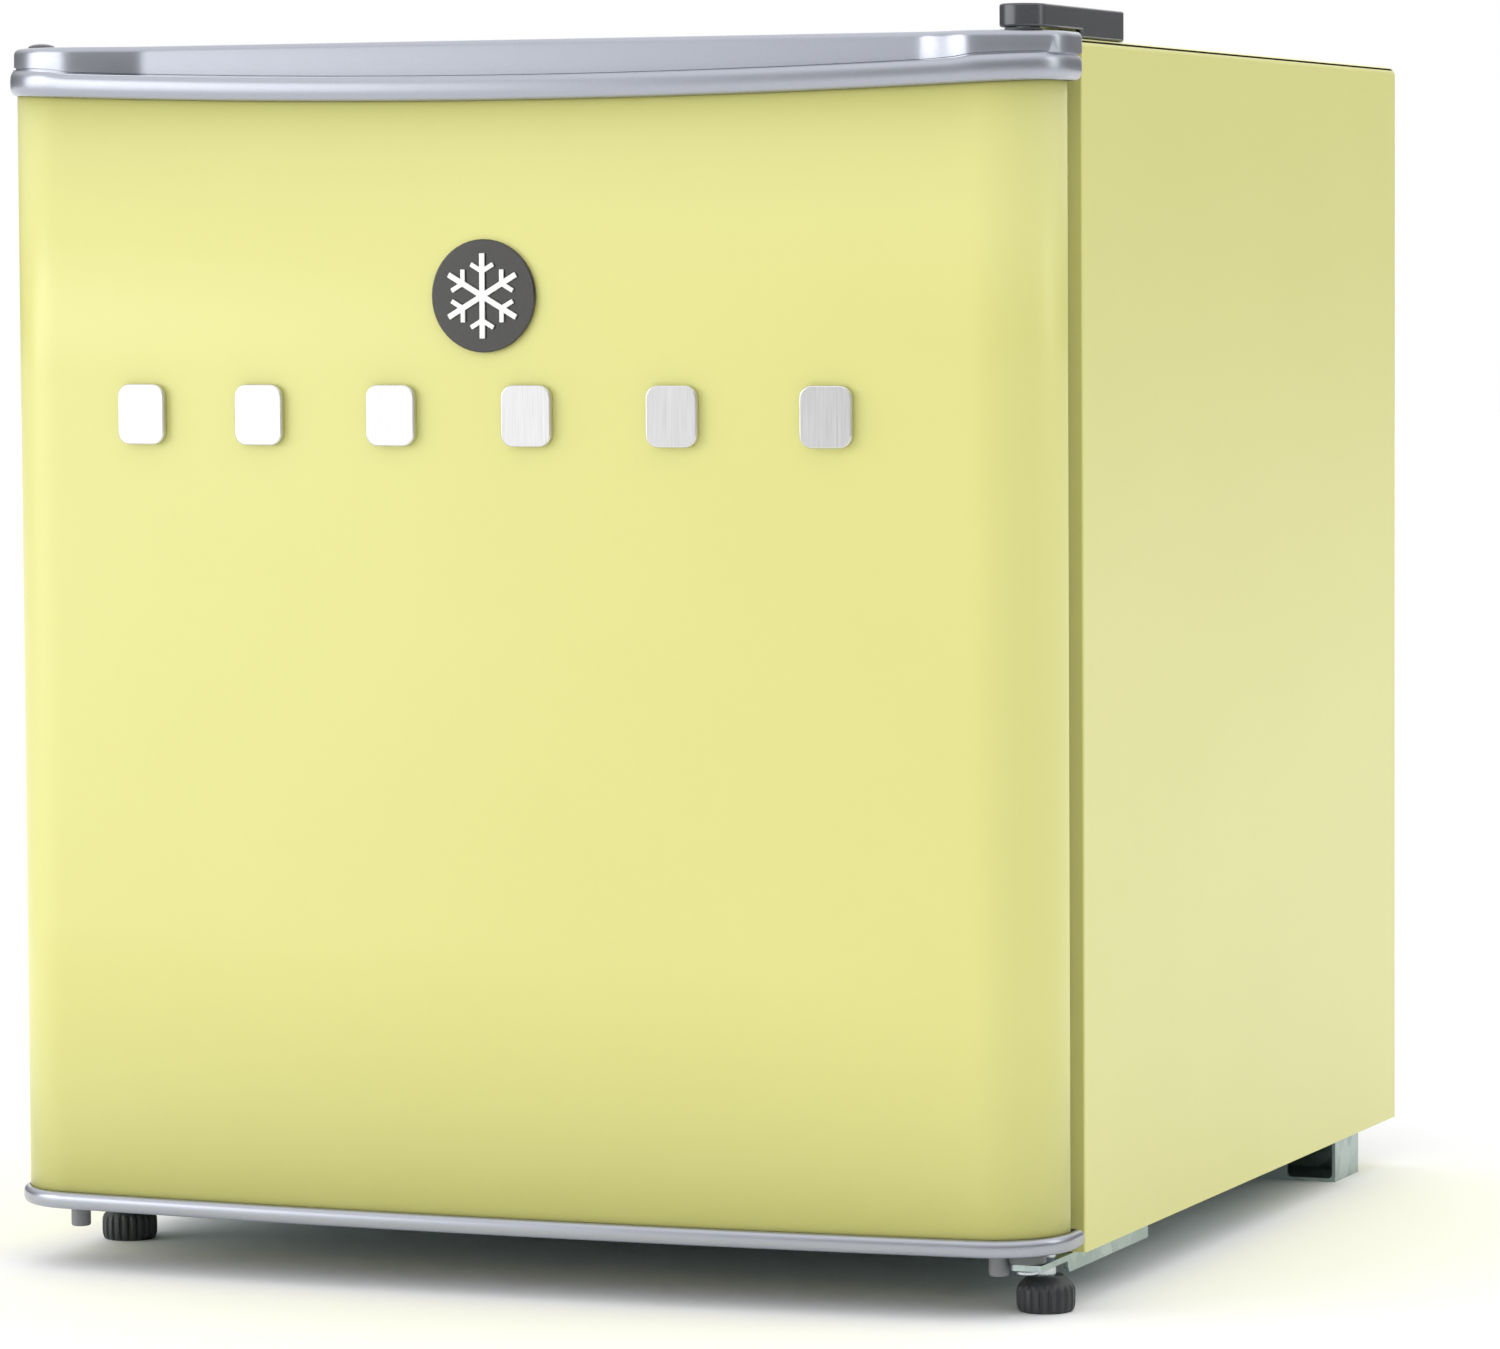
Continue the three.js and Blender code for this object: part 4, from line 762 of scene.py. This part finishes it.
def walled(piece, thick):
    """Gives an open sheet its thickness, inwards from the faces it has."""
    wall = piece.modifiers.new("thickness", "SOLIDIFY")
    wall.thickness = thick
    wall.offset = -1
    wall.use_even_offset = True
    return piece


plan = door_outline(0, SKIN_REAR, 0.0012, hem=0.012)
heights = np.linspace(low[2], high[2], 5)
grid = np.concatenate([np.broadcast_to(plan[None], (5, *plan.shape)),
                       np.broadcast_to(heights[:, None, None], (5, len(plan), 1))], -1)
skin_mesh = smoothed(surface("door_sheet", grid, ring=False, closed=False, turn=True))
walled(fitted("door_sheet", "door_skin", yellow_enamel, "door", skin_mesh), 0.0008)

# ---------------------------------------------------------------- door caps
# Two end caps moulded in ABS and sprayed silver slide over the ends of the bent sheet. The top
# one has a lower band that dips in the middle and a tier above it with a finger recess.

silver = painted_abs("silver_abs", "#A9ACB6", "#A3A6B0", 0.8, 0.3)
CAP_PROUD, TIER_INSET, CAP_REAR, CAP_CORNER = 0.0028, 0.0016, ROW - 0.0055, 0.003
RECESS_END, RECESS_START, RECESS_WALL = (0.158, 0.172), (0.192, 0.195), ROW - 0.042  # left, right


def cap_rows(rows):
    """Rows of (plan, height) made into one grid: each plan's points at that height, which may
    differ from point to point."""
    return np.stack([np.concatenate([plan, np.broadcast_to(z, (len(plan),))[:, None]], -1)
                     for plan, z in rows])


def stepped_in(plan, away):
    """A closed plan moved inwards by away, square to the line between each point's neighbours."""
    along = np.roll(plan, -1, 0) - np.roll(plan, 1, 0)
    along /= np.linalg.norm(along, axis=1, keepdims=True)
    return plan + away * np.stack([along[:, 1], -along[:, 0]], -1)


low, high = (np.array(corner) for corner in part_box("door_top_cap"))
BAND_LOW, LEDGE, TOP, DIP = 0.4724, 0.4818, high[2], 0.0053
SKIN_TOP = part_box("door_skin")[1].z


def grown_cap(grow, rear=CAP_REAR):
    """The cap's plan at that growth, with its back at rear where it is full."""
    return door_outline(grow, rear - max(0.0, CAP_PROUD - grow), CAP_CORNER)


band = grown_cap(CAP_PROUD)
dip = DIP * (1 - np.clip(np.abs(band[:, 0]) / HALF, 0, 1) ** 2)
lift = np.clip((np.abs(band[:, 0]) - 0.186) / 0.012, 0, 1)
z0, z1 = BAND_LOW - dip, LEDGE - dip + 0.0009 * lift**2 * (3 - 2 * lift)
tier = grown_cap(CAP_PROUD - TIER_INSET)
# On the hinge side the tier comes out flush with the band behind the corner.
out = np.clip((tier[:, 1] - (SIDE_FRONT + 0.008)) / 0.012, 0, 1) * (tier[:, 0] > 0)
out = (out * out * (3 - 2 * out))[:, None]
tier = tier * (1 - out) + band * out
start, end = (np.where(tier[:, 0] > 0, pair[1], pair[0]) for pair in (RECESS_START, RECESS_END))
blend_in = np.clip((start - np.abs(tier[:, 0])) / (start - end), 0, 1)
blend_in = blend_in**2 * (3 - 2 * blend_in)
front = tier[:, 1] < SIDE_FRONT + CORNER * 0.5
tier[:, 1] = np.where(front, tier[:, 1] * (1 - blend_in) + RECESS_WALL * blend_in, tier[:, 1])
inner = door_outline(0.0003, CAP_REAR - 0.0025, 0.001)
GROOVE = 0.0007  # both the depth and the height of the shadow line under the tier
groove = GROOVE * (1 - out[:, 0])


def swelling(low_edge, high_edge, least_below, least_above, rear=CAP_REAR, steps=15):
    """The rows of a band that swells between two edges: how far it stands out, over its height h
    from -1 to 1, is (1 - |h|^2.6)^(1/2.6) of the whole, and never less than its two least values."""
    h = -np.cos(np.linspace(0, np.pi, steps))
    proud = CAP_PROUD * (1 - np.abs(h) ** 2.6) ** (1 / 2.6)
    return [(grown_cap(max(grow, least_below if share < 0 else least_above), rear),
             low_edge + (high_edge - low_edge) * (share + 1) / 2) for share, grow in zip(h, proud)]


rows = [(inner, SKIN_TOP + 0.0003), (inner, z0)] + swelling(z0, z1, 0.0008, 0.0015)
foot_line = stepped_in(tier, GROOVE) * (1 - out) + tier * out
rows += [(foot_line, z1), (foot_line, z1 + groove), (tier, z1 + groove + 0.0002), (tier, TOP - 0.0024),
         (stepped_in(tier, 0.0002), TOP - 0.0015), (stepped_in(tier, 0.0007), TOP - 0.0007),
         (stepped_in(tier, 0.0014), TOP - 0.0002), (stepped_in(tier, 0.0024), TOP)]
top_mesh = smoothed(surface("top_cap", cap_rows(rows), turn=True), 40)
fitted("top_cap", "door_top_cap", silver, "door", top_mesh)

low, high = (np.array(corner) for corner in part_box("door_bottom_cap"))
z0, z1 = low[2], high[2]
BOTTOM_REAR = CAP_REAR - 0.0012
rows = swelling(z0, z1, 0.0002, 0.0003, BOTTOM_REAR)
inner = door_outline(0.0003, BOTTOM_REAR - 0.0025, 0.001)
rows += [(inner, z1), (inner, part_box("door_skin")[0].z - 0.0003)]
bottom_mesh = smoothed(surface("bottom_cap", cap_rows(rows), turn=True), 40)
fitted("bottom_cap", "door_bottom_cap", silver, "door", bottom_mesh)

grey_peg = black_paint("grey_nylon", "#77797C", "#8A8C8F", 0.4, 1000.0, 0.0)
low, high = (np.array(corner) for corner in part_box("cap_plug"))
dome = np.array([(2, -6), (2, 0), (5.4, 0), (5.6, 0.15), (5.5, 0.55), (5.1, 1.0), (4.4, 1.4), (3.3, 1.75),
                 (2.1, 1.98), (0.9, 2.08)]) / 1000
dome[:, 1] += high[2] - 0.0021
fitted("plug_dome", "cap_plug", dark_abs, "door",
       spun("plug_dome", dome, (low + high)[:2] / 2, 48))
for side in ("left", "right"):
    eased(f"peg_{side}", f"stop_peg_{side}", grey_peg, "door", 0.0004, angle=40)

# ---------------------------------------------------------------- door liner, gasket and racks
# The door's inside is one more white vacuum forming with a raised dyke round it. A magnetic
# gasket is pushed in behind it, and two clear racks hang between the dyke's sides.

eased("door_inside", "door_liner", white_liner, "door", 0.0007)
# The gasket is dark grey vinyl, made darker still and tinted olive. That colour is painted shade: it
# stands for the shadow in the gap between door and cabinet.
gasket_vinyl_painted_shade = black_paint("vinyl_gasket_painted_shade", "#4B4A3C", "#565546", 0.6, 1200.0, 0.0)
eased("magnet_gasket", "door_gasket", gasket_vinyl_painted_shade, "door", 0.0008, 2)
eased("rack_upper", "door_rack_upper", frosted, "door", 0.0007)
eased("rack_lower", "door_rack_lower", frosted, "door", 0.0007)

# ---------------------------------------------------------------- badge and trim
# A round die-cast badge in black enamel with a white snowflake, and six plain die-cast tiles,
# brushed and lacquered, fixed to the door with pins and tape.


def brushed_trim():
    """Brushed and lacquered die casting: upright satin lines a third of a millimetre apart."""
    made, tree = bare_material("brushed_zinc_alloy")
    where = add(tree, "TexCoord")
    stretch = add(tree, "Mapping", {"Vector": (where, "Object")})
    stretch.inputs["Scale"].default_value = (1.0, 1.0, 0.02)
    lines = add(tree, "TexNoise", {"Vector": (stretch, "Vector")}, Scale=3000.0, Detail=3.0)
    tone = add(tree, "ValToRGB", {"Fac": (lines, "Fac")})
    tone.color_ramp.elements[0].color = linear("#BDBDBE")
    tone.color_ramp.elements[1].color = linear("#E6E6E6")
    gloss = add(tree, "MapRange", {"Value": (lines, "Fac")}, To_Min=0.24, To_Max=0.42)
    bump = add(tree, "Bump", {"Height": (lines, "Fac")}, Strength=0.3, Distance=0.00004)
    skin = add(tree, "BsdfPrincipled", {"Base Color": (tone, "Color"), "Roughness": (gloss, "Result"),
                                        "Normal": (bump, "Normal")}, Metallic=1.0)
    add(tree, "OutputMaterial", {"Surface": (skin, "BSDF")})
    return made


badge_black = black_paint("badge_enamel", "#1E1D1A", "#2A2925", 0.25, 700.0, 0.5)
eased("badge_disc", "badge_plate", badge_black, "door", 0.0005, 3)
eased("snowflake", "badge_snowflake", enamelled_steel("white_badge_enamel", "#F6F6F3", "#EFEFEB"),
      "door", 0.0002)
trim = brushed_trim()
for count in range(1, 7):
    eased(f"tile_{count}", f"trim_stud_{count}", trim, "door", 0.0006, 3)
